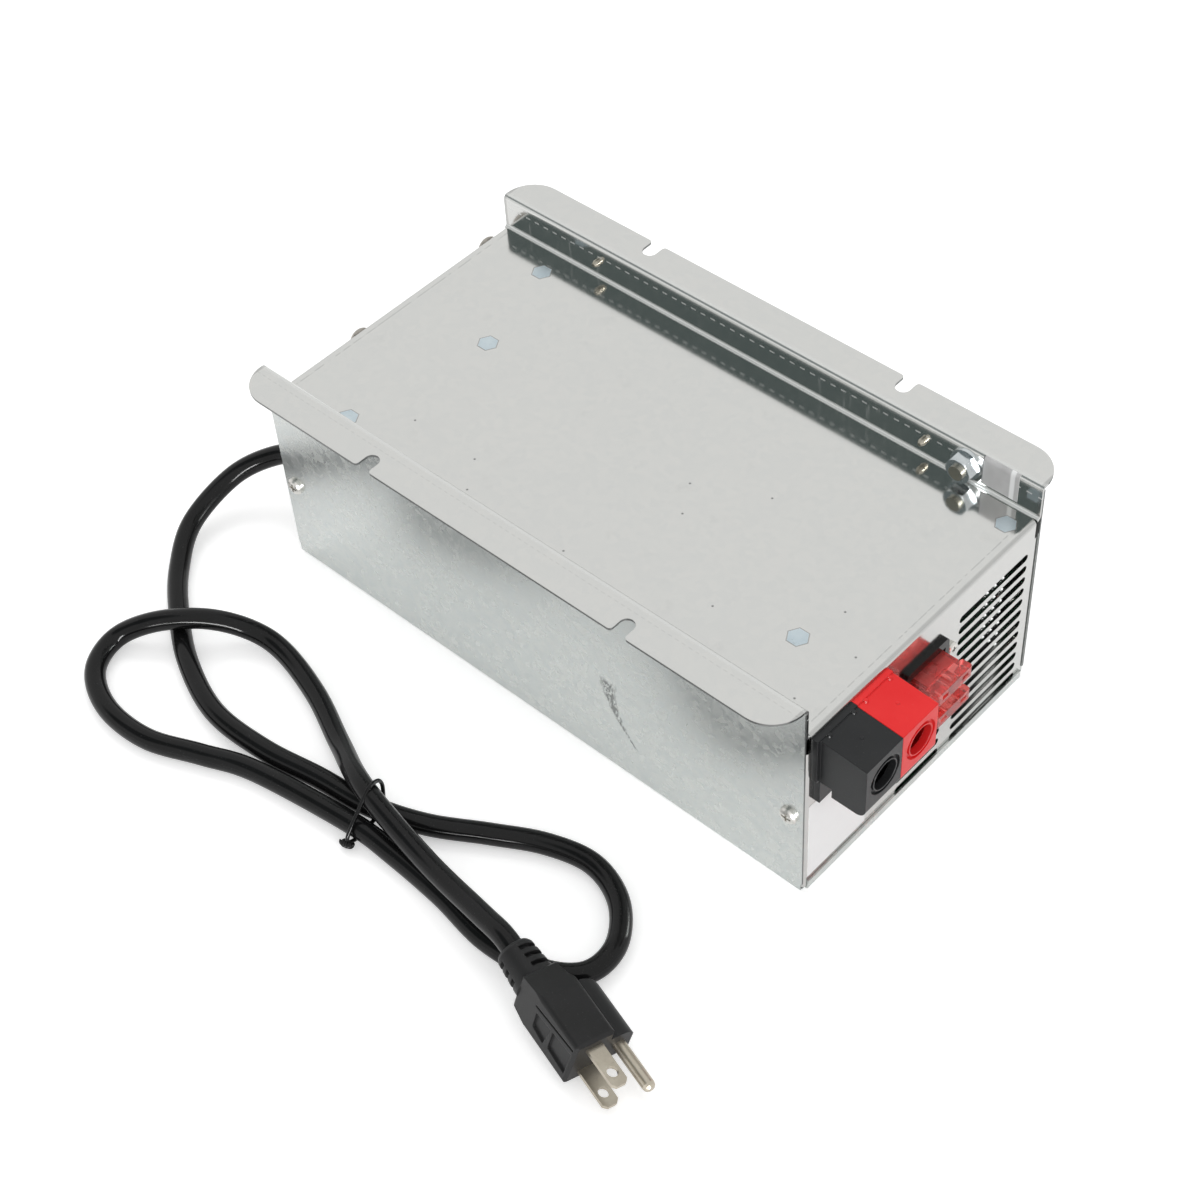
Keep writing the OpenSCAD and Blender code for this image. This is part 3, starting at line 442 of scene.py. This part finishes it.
def raised(f, height, strength, distance, edge=0.0):
    """Bump of a height; edge rounds sharp corners over that radius first."""
    sockets = {"Height": height, "Strength": strength, "Distance": distance}
    if edge:
        sockets["Normal"] = f.node("ShaderNodeBevel", {"samples": 6}, {"Radius": edge})
    return f.node("ShaderNodeBump", {}, sockets)


def ramp(f, value, low, high):
    """0 below low, 1 above high, straight between; low may be above high."""
    return ((value - low) / (high - low)).clamp()


def near(f, value, centre, half, soft):
    """1 within half of centre, falling to 0 over soft."""
    return (1 - (abs(value - centre) - half) / soft).clamp()


print("helpers:", [helper.__name__ for helper in (mixed, raised, ramp, near)])


# %% [markdown]
# ## Zinc-plated sheet
#
# The case is folded from steel sheet with a thin coat of zinc. The inner sheet is
# smooth, so it is a satin mirror: the nut and the wall stand in it, a little soft.
# The outer sheet is duller, with the fine mottle of its zinc crystals. Cell noise
# gives the crystals and stretched noise gives the lines of rolling, and both move
# colour and roughness only a little.
#
# The sheet also carries marks of the folding die and of handling, and painted light: a
# painted highlight along the foot and the upper bend of the two inner walls, and painted
# shade on the end panels and the bend down to them and on the inside of the cover. An
# image could hold them, but masks that are worked out from the object's own coordinates
# need no image and keep each mark on its own face. Dark masks mix in bare steel, dirt
# and painted shade, and pale masks mix in a pale, duller zinc for die marks and painted
# highlights.

# %% Rings round the standoffs
# Middles of the standoffs in millimetres from the case's centre
STANDOFFS = ((-98.6, 51.8), (-85.8, 8), (-97.7, -55), (99.9, -32.5), (122.5, 54.8))
HEX_HALF = 3.7 * MM    # from a standoff's middle to the ring round its flats


def standoff_rings(f, x, y):
    """A thin hexagon round each clinched standoff."""
    rings = 0.0 * x
    for at_x, at_y in STANDOFFS:
        dx, dy = abs(x - (CASE_X + at_x * MM)), abs(y - at_y * MM)
        hexagon = dy.top(0.866 * dx + 0.5 * dy)
        rings = rings + near(f, hexagon, HEX_HALF, 0.00008, 0.00022)
    return rings


print("standoffs to ring:", len(STANDOFFS))


# %% Marks and painted light on the chassis
PLATE_TOP = 85.4 * MM     # base plate, which lies on top here
WALL_INNER = 64.0 * MM    # inner faces of the chassis walls, from the middle along Y
BEND_X = 126.3 * MM       # where each end of the plate starts to bend


def chassis_marks_and_light(f, x, y, z):
    """Pale: strokes and a dotted line that the folding die left on the two inner walls,
    and a painted highlight along their foot and along their upper bend. Dark: specks,
    smudges and rings on the plate, a broken line where each end starts to bend, and
    painted shade on the end panels, darker still on the bend down to them."""
    inner = near(f, abs(y), WALL_INNER, 0.0008, 0.0004) * ramp(f, z, 0.0855, 0.087)
    strokes = ramp(f, noise(f, place(f, (520, 1, 60), (0, 0.6, 0)), 1, 2), 0.60, 0.72)
    patch = ramp(f, noise(f, place(f, (30, 1, 1)), 1, 2), 0.45, 0.6)
    dots = ((x * 1300).wave() > 0.1) * near(f, z, 0.0952, 0.0002, 0.0003)
    low_wall = ramp(f, z, 0.0965, 0.0945)
    # painted highlight: a bright line along the foot of each inner wall
    foot = near(f, z, 0.0858, 0.0004, 0.0004) * near(f, abs(y), 0.0636, 0.0005, 0.0004)
    # painted highlight: a pale band on the upper bend of each inner wall
    wall_bend_highlight = near(f, abs(y), 0.0652, 0.0012, 0.0004) * ramp(f, z, 0.0972, 0.0985)
    pale = (inner * (0.3 * strokes * patch * low_wall + 0.55 * dots) + 0.6 * foot
            + 0.22 * wall_bend_highlight)
    plate = near(f, z, PLATE_TOP, 0.0006, 0.0004)
    flat = place(f, (1, 1, 0))
    rare = axes(f, cells(f, flat, 75, output=1, sizes="2D"))[1] > 0.93
    specks = ramp(f, cells(f, flat, 75, sizes="2D"), 0.045, 0.02) * rare
    smudge = ramp(f, noise(f, flat, 70, 4, 0.65), 0.6, 0.72)
    broken = ramp(f, noise(f, flat, 260, 2), 0.42, 0.5)
    from_middle = abs(x - CASE_X)
    bend = near(f, from_middle, BEND_X, 0.0001, 0.0003) * broken
    # painted shade: the end panels are darkened, and more still on the bend down to them
    end = ramp(f, from_middle, 0.1284, 0.1290)
    fold = end * ramp(f, z, 0.0832, 0.0840)
    dies = ((x * 2100).wave() > -0.2) * near(f, y, -0.0692, 0.0001, 0.0002)
    on_plate = (0.7 * specks + 0.04 * smudge + 0.2 * bend
                + 0.45 * standoff_rings(f, x, y)) * plate
    on_flange = 0.10 * dies * (z > 0.0998)
    return on_plate + on_flange + 0.13 * end + 0.16 * fold, pale


print("marks on the plate at z =", round(PLATE_TOP, 4))


# %% Marks and painted shade on the cover
COVER_INNER = 65.2 * MM    # inner faces of the cover's sides, from the middle along Y
SCUFF_X, SCUFF_TOP = 40.8 * MM, 47.5 * MM    # upper end of the scuff


def side_on(f, axis):
    """How far the face itself points along an axis: 0 is square to it, 1 is along."""
    return abs(axes(f, f.node("ShaderNodeNewGeometry", output="True Normal"))[axis])


def cover_marks_and_shade(f, x, y, z):
    """Dark only: a worn scuff that thins out downwards and a smear by the lower corner of
    the near wall, faint clouds, cut edges at the walls' ends, and painted shade on the
    inside faces."""
    near_wall = y < -0.064
    ragged = noise(f, place(f, (1, 1, 0.6), (0, 0.35, 0)), 1100, 4, 0.7)
    down = SCUFF_TOP - z
    drift = x - (CASE_X + SCUFF_X) - 15.0 * down * down
    width = (0.0046 - 0.16 * down + 0.004 * (ragged - 0.5)).top(0.0007)
    along = ramp(f, down, -0.0015, 0.0010) * ramp(f, down, 0.0300, 0.0280)
    scuff = ramp(f, abs(drift) / width, 1.0, 0.5) * along * ramp(f, ragged, 0.43, 0.52)
    foot = ramp(f, z + 0.004 * ragged, 0.006, 0.003) * ramp(f, x, 0.10, 0.13)
    faint = 0.03 * ramp(f, noise(f, place(f, (1, 1, 0.5)), 45, 4, 0.7), 0.58, 0.7)
    cut = (side_on(f, 0) > 0.7) * (abs(y) > 0.0651) * (z > 0.004)
    # painted shade: the inside faces of the cover are darkened
    inside = ((abs(y) < COVER_INNER + 0.1 * MM) * (z > 0.0006)
              * (abs(x - CASE_X) < HALF_LENGTH - 0.2 * MM))
    marks = (0.7 * scuff + 0.3 * foot * ragged) * near_wall + faint
    return marks + 0.8 * cut + 0.7 * inside, 0.0 * x


print("scuff starts at", round(CASE_X + SCUFF_X, 4), round(SCUFF_TOP, 4))


# %% Zinc finish
FLANGE_TOP = 100.5 * MM    # upper faces of the flanges


def flange_edge(f, y, z):
    """The cut edge of the flanges' sheet, where the steel shows dark."""
    upright = ramp(f, side_on(f, 2), 0.4, 0.2)
    return upright * (z > FLANGE_TOP - 1.2 * MM) * (abs(y) > WALL_INNER + 3.5 * MM)


def zinc(name, shade, crystal, contrast, gloss, marks):
    """Metal of colour shade; crystal is cells per metre, contrast how much they
    show, gloss the roughness, and marks a function that gives dark and pale masks,
    painted shade and painted highlights among them."""
    f = Finish(name)
    here = place(f)
    x, y, z = axes(f, here)
    drift = noise(f, here, 16, 4)
    push = f.node("ShaderNodeTexNoise", {}, {"Vector": here, "Scale": 150}, 1)
    short = f.node("ShaderNodeVectorMath", {"operation": "SCALE"},
                   {0: push, "Scale": 0.006})
    warped = f.node("ShaderNodeVectorMath", {"operation": "ADD"}, {0: here, 1: short})
    grain = axes(f, cells(f, warped, crystal, output=1))[0]
    fine = noise(f, here, 1100, 4, 0.7)
    rolled = noise(f, place(f, (4, 260, 260)), 4, 4, 0.6)
    uneven = ((grain - 0.5) + 1.1 * (drift - 0.5) + 0.7 * (fine - 0.5)
              + 0.4 * (rolled - 0.5))
    tone = (0.5 + contrast * uneven).clamp()
    cool = tuple(c - step for c, step in zip(shade, (0.05, 0.035, 0.03))) + (1.0,)
    warm = tuple(c + step for c, step in zip(shade, (0.05, 0.045, 0.03))) + (1.0,)
    dark, pale = marks(f, x, y, z)
    dark = dark + 0.8 * flange_edge(f, y, z)
    # dark mixes in bare steel, dirt and painted shade; pale mixes in die marks and painted
    # highlights
    skin = mixed(f, dark.clamp(), mixed(f, tone, cool, warm), (0.095, 0.10, 0.10, 1))
    skin = mixed(f, pale, skin, (0.80, 0.82, 0.81, 1))
    height = 0.5 * contrast * grain + 0.25 * rolled + 0.3 * fine
    uneven_gloss = 0.10 * contrast * grain + 0.05 * drift + 0.3 * (dark + pale)
    return f.drive(Base_Color=skin, Metallic=1 - 0.8 * pale,
                   Roughness=gloss + uneven_gloss,
                   Normal=raised(f, height, 0.12, 0.00003))


inner_zinc = zinc("inner_zinc", (0.705, 0.70, 0.688), 330, 0.2, 0.085, chassis_marks_and_light)
outer_zinc = zinc("outer_zinc", (0.61, 0.63, 0.622), 420, 0.6, 0.2, cover_marks_and_shade)
print("zinc nodes:", len(inner_zinc.node_tree.nodes), len(outer_zinc.node_tree.nodes))

# %% [markdown]
# ## Small metal parts
#
# Screws, standoffs and the nut are plated, each with its own tint: nickel is plain,
# blue zinc is cool, yellow zinc is warm. Each finish drifts between two shades in
# soft blotches. Fine lines in the bump and a little grime are enough at this size.

# %% Plated metal
def plated(name, pale, deep, rough=0.25, grit=1500):
    """Metal that drifts between pale and deep, with grit fine lines per metre."""
    f = Finish(name, Metallic=1.0)
    here = place(f)
    blotch = noise(f, here, 160, 4, 0.6)
    grime = ramp(f, noise(f, here, 700, 4, 0.7), 0.6, 0.75)
    skin = mixed(f, ramp(f, blotch, 0.3, 0.7), pale, deep)
    lines = noise(f, place(f, (1, 1, 8)), grit, 2)
    return f.drive(Base_Color=mixed(f, 0.35 * grime, skin, (0.1, 0.09, 0.08, 1)),
                   Roughness=rough + 0.15 * grime + 0.1 * blotch,
                   Normal=raised(f, lines, 0.2, 0.00003))


screw_steel = plated("screw_steel", (0.78, 0.76, 0.72, 1), (0.62, 0.61, 0.58, 1))
blue_zinc = plated("blue_zinc", (0.64, 0.72, 0.76, 1), (0.56, 0.65, 0.70, 1), 0.3)
nut_zinc = plated("nut_zinc", (0.70, 0.73, 0.74, 1), (0.55, 0.59, 0.61, 1), 0.2)
yellow_zinc = plated("yellow_zinc", (0.52, 0.48, 0.40, 1), (0.36, 0.34, 0.29, 1), 0.25)
plug_metal = plated("plug_metal", (0.60, 0.55, 0.46, 1), (0.48, 0.43, 0.35, 1), 0.26,
                    900)
lug_alloy = plated("lug_alloy", (0.72, 0.72, 0.70, 1), (0.60, 0.60, 0.58, 1), 0.35)
heat_sink_alloy = plated("heat_sink_alloy", (0.30, 0.31, 0.32, 1),
                         (0.24, 0.25, 0.26, 1), 0.45)
fan_head_steel = plated("fan_head_steel", (0.50, 0.47, 0.43, 1),
                        (0.34, 0.32, 0.29, 1), 0.2)
copper = plated("copper", (0.72, 0.36, 0.20, 1), (0.55, 0.24, 0.12, 1), 0.32, 500)
print("materials in the file:", len(bpy.data.materials))

# %% [markdown]
# ## Moulded plastics
#
# A moulded skin carries the fine spark texture of its mould, faint flow marks, a
# little dust and a shine that varies. The same recipe, with other colours and depths
# of texture, serves the cord, the plug, the covers and the fan.

# %% Moulded skin
def moulded(name, base, tint, rough, texture, depth, edge=0.0, shine=0.25):
    """Plastic whose spark texture has texture bumps per metre and a depth in metres;
    edge is the radius that its mould gives to corners, shine its specular level."""
    f = Finish(name, Specular_IOR_Level=shine)
    here = place(f)
    flow = noise(f, here, 45, 4, 0.6)
    spark = noise(f, here, texture, 3, 0.6)
    dust = ramp(f, noise(f, here, 1300, 2, 0.6), 0.66, 0.76)
    skin = mixed(f, ramp(f, flow, 0.3, 0.7), base, tint)
    pale = tuple(0.7 * c + 0.10 for c in tint[:3]) + (1.0,)
    return f.drive(Base_Color=mixed(f, 0.25 * dust, skin, pale),
                   Roughness=rough + 0.12 * (flow - 0.5) + 0.15 * dust,
                   Normal=raised(f, spark + 0.3 * flow, 0.4, depth, edge))


cord_jacket = moulded("cord_jacket", (0.006, 0.006, 0.006, 1),
                      (0.009, 0.009, 0.0095, 1), 0.13, 700, 0.000012, 0.0, 0.24)
plug_moulding = moulded("plug_moulding", (0.015, 0.015, 0.015, 1),
                        (0.020, 0.020, 0.021, 1), 0.40, 1500, 0.00004, 0.0007)
black_cover = moulded("black_cover", (0.016, 0.017, 0.018, 1), (0.022, 0.023, 0.024, 1),
                      0.32, 1800, 0.00003, 0.0004)
red_cover = moulded("red_cover", colour(228, 38, 40), colour(236, 50, 50), 0.30, 1800,
                    0.00003, 0.0004)
fan_plastic = moulded("fan_plastic", (0.018, 0.018, 0.020, 1), (0.028, 0.028, 0.030, 1),
                      0.45, 1400, 0.00004, 0.0004)
black_resin = moulded("black_resin", (0.012, 0.012, 0.012, 1), (0.020, 0.020, 0.020, 1),
                      0.30, 1600, 0.00003, 0.0003)
holder_resin = moulded("holder_resin", (0.004, 0.004, 0.004, 1),
                       (0.006, 0.006, 0.006, 1), 0.16, 1200, 0.00002, 0.0004, 0.32)
ferrite = moulded("ferrite", (0.045, 0.044, 0.045, 1), (0.075, 0.072, 0.070, 1),
                  0.6, 900, 0.00008, 0.0005)
lead_sleeve = moulded("lead_sleeve", (0.05, 0.05, 0.055, 1), (0.09, 0.085, 0.085, 1),
                      0.4, 1200, 0.00003)
print("materials in the file:", len(bpy.data.materials))

# %% [markdown]
# ## Inside parts
#
# The board is glass cloth under a green lacquer with paler copper tracks below it.
# Winding tape is a yellow film with the edges of its turns, and a capacitor's sleeve
# is shrunk over its can, so it is smooth and shiny with one pale stripe.

# %% Lacquered board
def lacquered_board(name):
    """Green lacquer over tracks and the weave of the cloth, sin(5200 x) sin(5200 y)."""
    f = Finish(name, Coat_Weight=0.4, Coat_Roughness=0.2)
    here = place(f)
    x, y, _ = axes(f, here)
    cloth = (x * 5200).wave() * (y * 5200).wave()
    track = ramp(f, cells(f, here, 260, "DISTANCE_TO_EDGE"), 0.12, 0.16)
    skin = mixed(f, track, (0.008, 0.075, 0.030, 1), (0.020, 0.14, 0.055, 1))
    return f.drive(Base_Color=skin, Roughness=0.35 + 0.1 * noise(f, here, 200),
                   Normal=raised(f, track + 0.2 * cloth, 0.4, 0.00005))


board = lacquered_board("board")
print("board nodes:", len(board.node_tree.nodes))


# %% Tape and sleeves
def wrapped(name, base, pale, turns, rough):
    """Film or sleeve whose edges show as pale lines where sin(turns z) is near 1."""
    f = Finish(name)
    here = place(f)
    z = axes(f, here)[2]
    edge = near(f, (z * turns).wave(), 1.0, 0.05, 0.15)
    mottle = noise(f, here, 90, 4)
    return f.drive(Base_Color=mixed(f, 0.6 * edge + 0.3 * mottle, base, pale),
                   Roughness=rough + 0.2 * mottle, Normal=raised(f, edge, 0.3, 0.0001))


tape = wrapped("tape", (0.62, 0.42, 0.06, 1), (0.75, 0.6, 0.2, 1), 2500, 0.25)
capacitor_sleeve = wrapped("capacitor_sleeve", (0.012, 0.018, 0.05, 1),
                           (0.05, 0.06, 0.12, 1), 180, 0.22)
print("tape nodes:", len(tape.node_tree.nodes))

# %% [markdown]
# ## Clear and frosted plastic
#
# A blade fuse sits in clear red plastic. Alpha would only thin its colour, while
# transmission bends the light, so the fuse gets bright edges and the dark of what is
# behind it. The two blank labels are matt film: a coat over two close greys. The one
# in the trough has a painted highlight along one fold and a painted shadow along its
# left rim.

# %% Clear fuse plastic
def clear_red(name):
    """Clear red plastic, a little cloudy where it flowed into its mould."""
    f = Finish(name, IOR=1.49, Transmission_Weight=0.82)
    here = place(f)
    flow = noise(f, here, 260, 3)
    skin = mixed(f, flow, colour(252, 92, 88), colour(255, 150, 144))
    return f.drive(Base_Color=skin,
                   Roughness=0.03 + 0.08 * noise(f, here, 700, 3),
                   Normal=raised(f, flow, 0.3, 0.00012, 0.0003))


fuse_plastic = clear_red("fuse_plastic")
print("fuse nodes:", len(fuse_plastic.node_tree.nodes))


# %% Label film
def frosted_film(name, low, high, crease_x):
    """Label film between two greys, with a painted highlight along one fold across it at
    crease_x and a painted shadow along its left rim."""
    f = Finish(name, Coat_Weight=0.25, Coat_Roughness=0.3)
    here = place(f)
    x = axes(f, here)[0]
    # painted highlight along the fold at crease_x
    crease_highlight = near(f, x, crease_x, 0.0007, 0.0005)
    # painted shadow along the label's left rim
    left_rim_shadow = near(f, x, CASE_X + 0.1049, 0.0002, 0.0002)
    cloud = noise(f, here, 120, 4)
    fibre = noise(f, here, 2500, 3)
    skin = mixed(f, cloud, (low, low, low, 1), (high, high, high, 1))
    skin = mixed(f, 0.8 * left_rim_shadow, skin, (0.06, 0.065, 0.065, 1))
    return f.drive(Base_Color=mixed(f, crease_highlight, skin, (0.86, 0.87, 0.87, 1)),
                   Roughness=0.42 + 0.15 * cloud, Normal=raised(f, fibre, 0.3, 0.00003))


trough_label = frosted_film("trough_label", 0.38, 0.66, CASE_X + 0.1176)
# the panel label's painted highlight along its fold falls off the part
panel_label = frosted_film("panel_label", 0.93, 0.97, 1.0)    # its crease is off the part
print("materials in the file:", len(bpy.data.materials))

# %% [markdown]
# ## Who wears what
#
# The solids keep their shapes, so each only needs its finish in its material slots.
# One table says it for all of them, and the loop below names any solid left out.

# %% Say who wears what
finish_of = {
    inner_zinc: ["chassis"],
    outer_zinc: ["cover"],
    screw_steel: ["cover_screws", "board_screws", "fan_screws", "panel_screw",
                  "lug_screws"],
    blue_zinc: ["board_standoffs"],
    nut_zinc: ["ground_nut"],
    yellow_zinc: ["side_screws", "ground_bolt"],
    board: ["circuit_board", "control_board"],
    ferrite: ["transformer_core"],
    tape: ["transformer_winding"],
    capacitor_sleeve: ["input_capacitors", "output_capacitors"],
    heat_sink_alloy: ["heat_sinks"],
    black_resin: ["power_transistors", "bridge_rectifier", "terminal_block",
                  "mains_terminal_block"],
    holder_resin: ["fuse_holder"],
    copper: ["output_choke", "line_choke", "fan_stator", "busbars", "fuse_straps"],
    lead_sleeve: ["mains_leads", "fan_leads"],
    fan_plastic: ["fan_frame", "fan_rotor"],
    cord_jacket: ["power_cord", "cord_tie", "cord_strain_relief"],
    plug_moulding: ["plug_body"],
    plug_metal: ["plug_blades", "plug_ground_pin"],
    black_cover: ["negative_terminal_cover"],
    red_cover: ["positive_terminal_cover"],
    lug_alloy: ["terminal_lugs", "fuse_elements"],
    fuse_plastic: ["fuse_housings"],
    trough_label: ["ground_label"],
    panel_label: ["panel_label"],
}
print("finishes given out:", len(finish_of))

# %% Give every solid its finish
dressed = set()
for finish, names in finish_of.items():
    for name in names:
        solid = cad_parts[name]
        if not solid.material_slots:
            solid.data.materials.append(finish)
        for material_slot in solid.material_slots:
            material_slot.material = finish
        dressed.add(name)
for piece in [mains_cord, *tie_pieces]:
    piece.data.materials.append(cord_jacket)
for piece in fan_heads:
    piece.data.materials.append(fan_head_steel)
print("dressed", len(dressed), "left out", sorted(set(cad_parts) - dressed))

# %% [markdown]
# ## The studio
#
# The photograph has a plain white ground and soft light from all round, so the world
# does most of the lighting and two weak lamps only give it a direction. Sheet metal
# shows what is round it: the world is white with one dark side, as a room behind a
# camera has, and that side darkens the wall under the far flange. A long low lamp in
# front is seen only in gloss, where it draws the thin white lines along the cord.

# %% Floor
def floor_finish():
    """White paper; camera, mirror and glass rays see it a little brighter, so that
    it reaches white where no shadow falls."""
    f = Finish("floor_paper", Specular_IOR_Level=0.1, Emission_Strength=0.40)
    grain = noise(f, place(f), 500, 3)
    path = f.node("ShaderNodeLightPath").socket.node.outputs
    seen = (Wire(f, path["Is Camera Ray"]) + 0.5 * Wire(f, path["Is Glossy Ray"])
            + Wire(f, path["Is Transmission Ray"])).clamp()
    paper = mixed(f, grain, (0.88, 0.88, 0.88, 1), (0.92, 0.92, 0.92, 1))
    glow = mixed(f, seen, (0, 0, 0, 1), (1, 1, 1, 1))
    return f.drive(Base_Color=paper, Emission_Color=glow, Roughness=0.9)


floor_z, span = float(cad_low.z), 4.0
floor_corners = [(-span, -span, floor_z), (span, -span, floor_z),
                 (span, span, floor_z), (-span, span, floor_z)]
floor_mesh = bpy.data.meshes.new("floor")
floor_mesh.from_pydata(floor_corners, [], [(0, 1, 2, 3)])
floor_mesh.materials.append(floor_finish())
floor = bpy.data.objects.new("floor", floor_mesh)
bpy.context.collection.objects.link(floor)
print("floor at", floor_z)

# %% World
world = bpy.data.worlds.new("studio")
world.use_nodes = True
bpy.context.scene.world = world
sky = NodeTree(world.node_tree)
facing = sky.node("ShaderNodeTexCoord", output="Generated")
dark_side = (-0.42, -0.50, 0.757)
toward_dark = sky.node("ShaderNodeVectorMath", {"operation": "DOT_PRODUCT"},
                       {0: facing, 1: dark_side}, "Value")
mirrored = mixed(sky, ramp(sky, toward_dark, 0.92, 0.962), (0.88, 0.885, 0.88, 1),
                 (0.115, 0.145, 0.145, 1))
light_path = sky.node("ShaderNodeLightPath").socket.node.outputs
is_camera = Wire(sky, light_path["Is Camera Ray"])
in_mirror = (Wire(sky, light_path["Is Glossy Ray"])
             + Wire(sky, light_path["Is Transmission Ray"])).clamp()
soft = mixed(sky, in_mirror, (0.80, 0.80, 0.80, 1), mirrored)
background = world.node_tree.nodes["Background"]
sky.feed(background.inputs["Color"], mixed(sky, is_camera, soft, (1, 1, 1, 1)))
background.inputs["Strength"].default_value = 1.0
print("world nodes:", len(world.node_tree.nodes))


# %% Lamps
def softbox(name, at, aim, width, height, watts):
    """Flat lamp whose own Z axis points from aim back to the lamp, because an area
    lamp shines along -Z; X is level and Y completes the three."""
    at, aim = np.array(at, float), np.array(aim, float)
    back = (at - aim) / np.linalg.norm(at - aim)
    level = np.cross((0, 0, 1), back)
    level /= np.linalg.norm(level)
    lamp = bpy.data.lights.new(name, "AREA")
    lamp.shape, lamp.size, lamp.size_y, lamp.energy = "RECTANGLE", width, height, watts
    box = bpy.data.objects.new(name, lamp)
    bpy.context.collection.objects.link(box)
    columns = np.array([level, np.cross(back, level), back, at]).T
    box.matrix_world = Matrix(np.vstack([columns, (0, 0, 0, 1)]).tolist())
    return box


key_lamp = softbox("key_lamp", (-0.7, 0.5, 1.5), (0, -0.05, 0), 0.9, 0.6, 5.0)
fill_lamp = softbox("fill_lamp", (1.2, -0.6, 1.1), (0, -0.05, 0), 0.8, 0.8, 2.0)
key_lamp.visible_glossy = fill_lamp.visible_glossy = False
window_lamp = softbox("window_lamp", (1.07, -1.18, 0.16), (0, -0.1, 0.02), 1.5, 0.22,
                      32.0)
window_lamp.visible_diffuse = False
bpy.context.scene.view_settings.view_transform = "Standard"
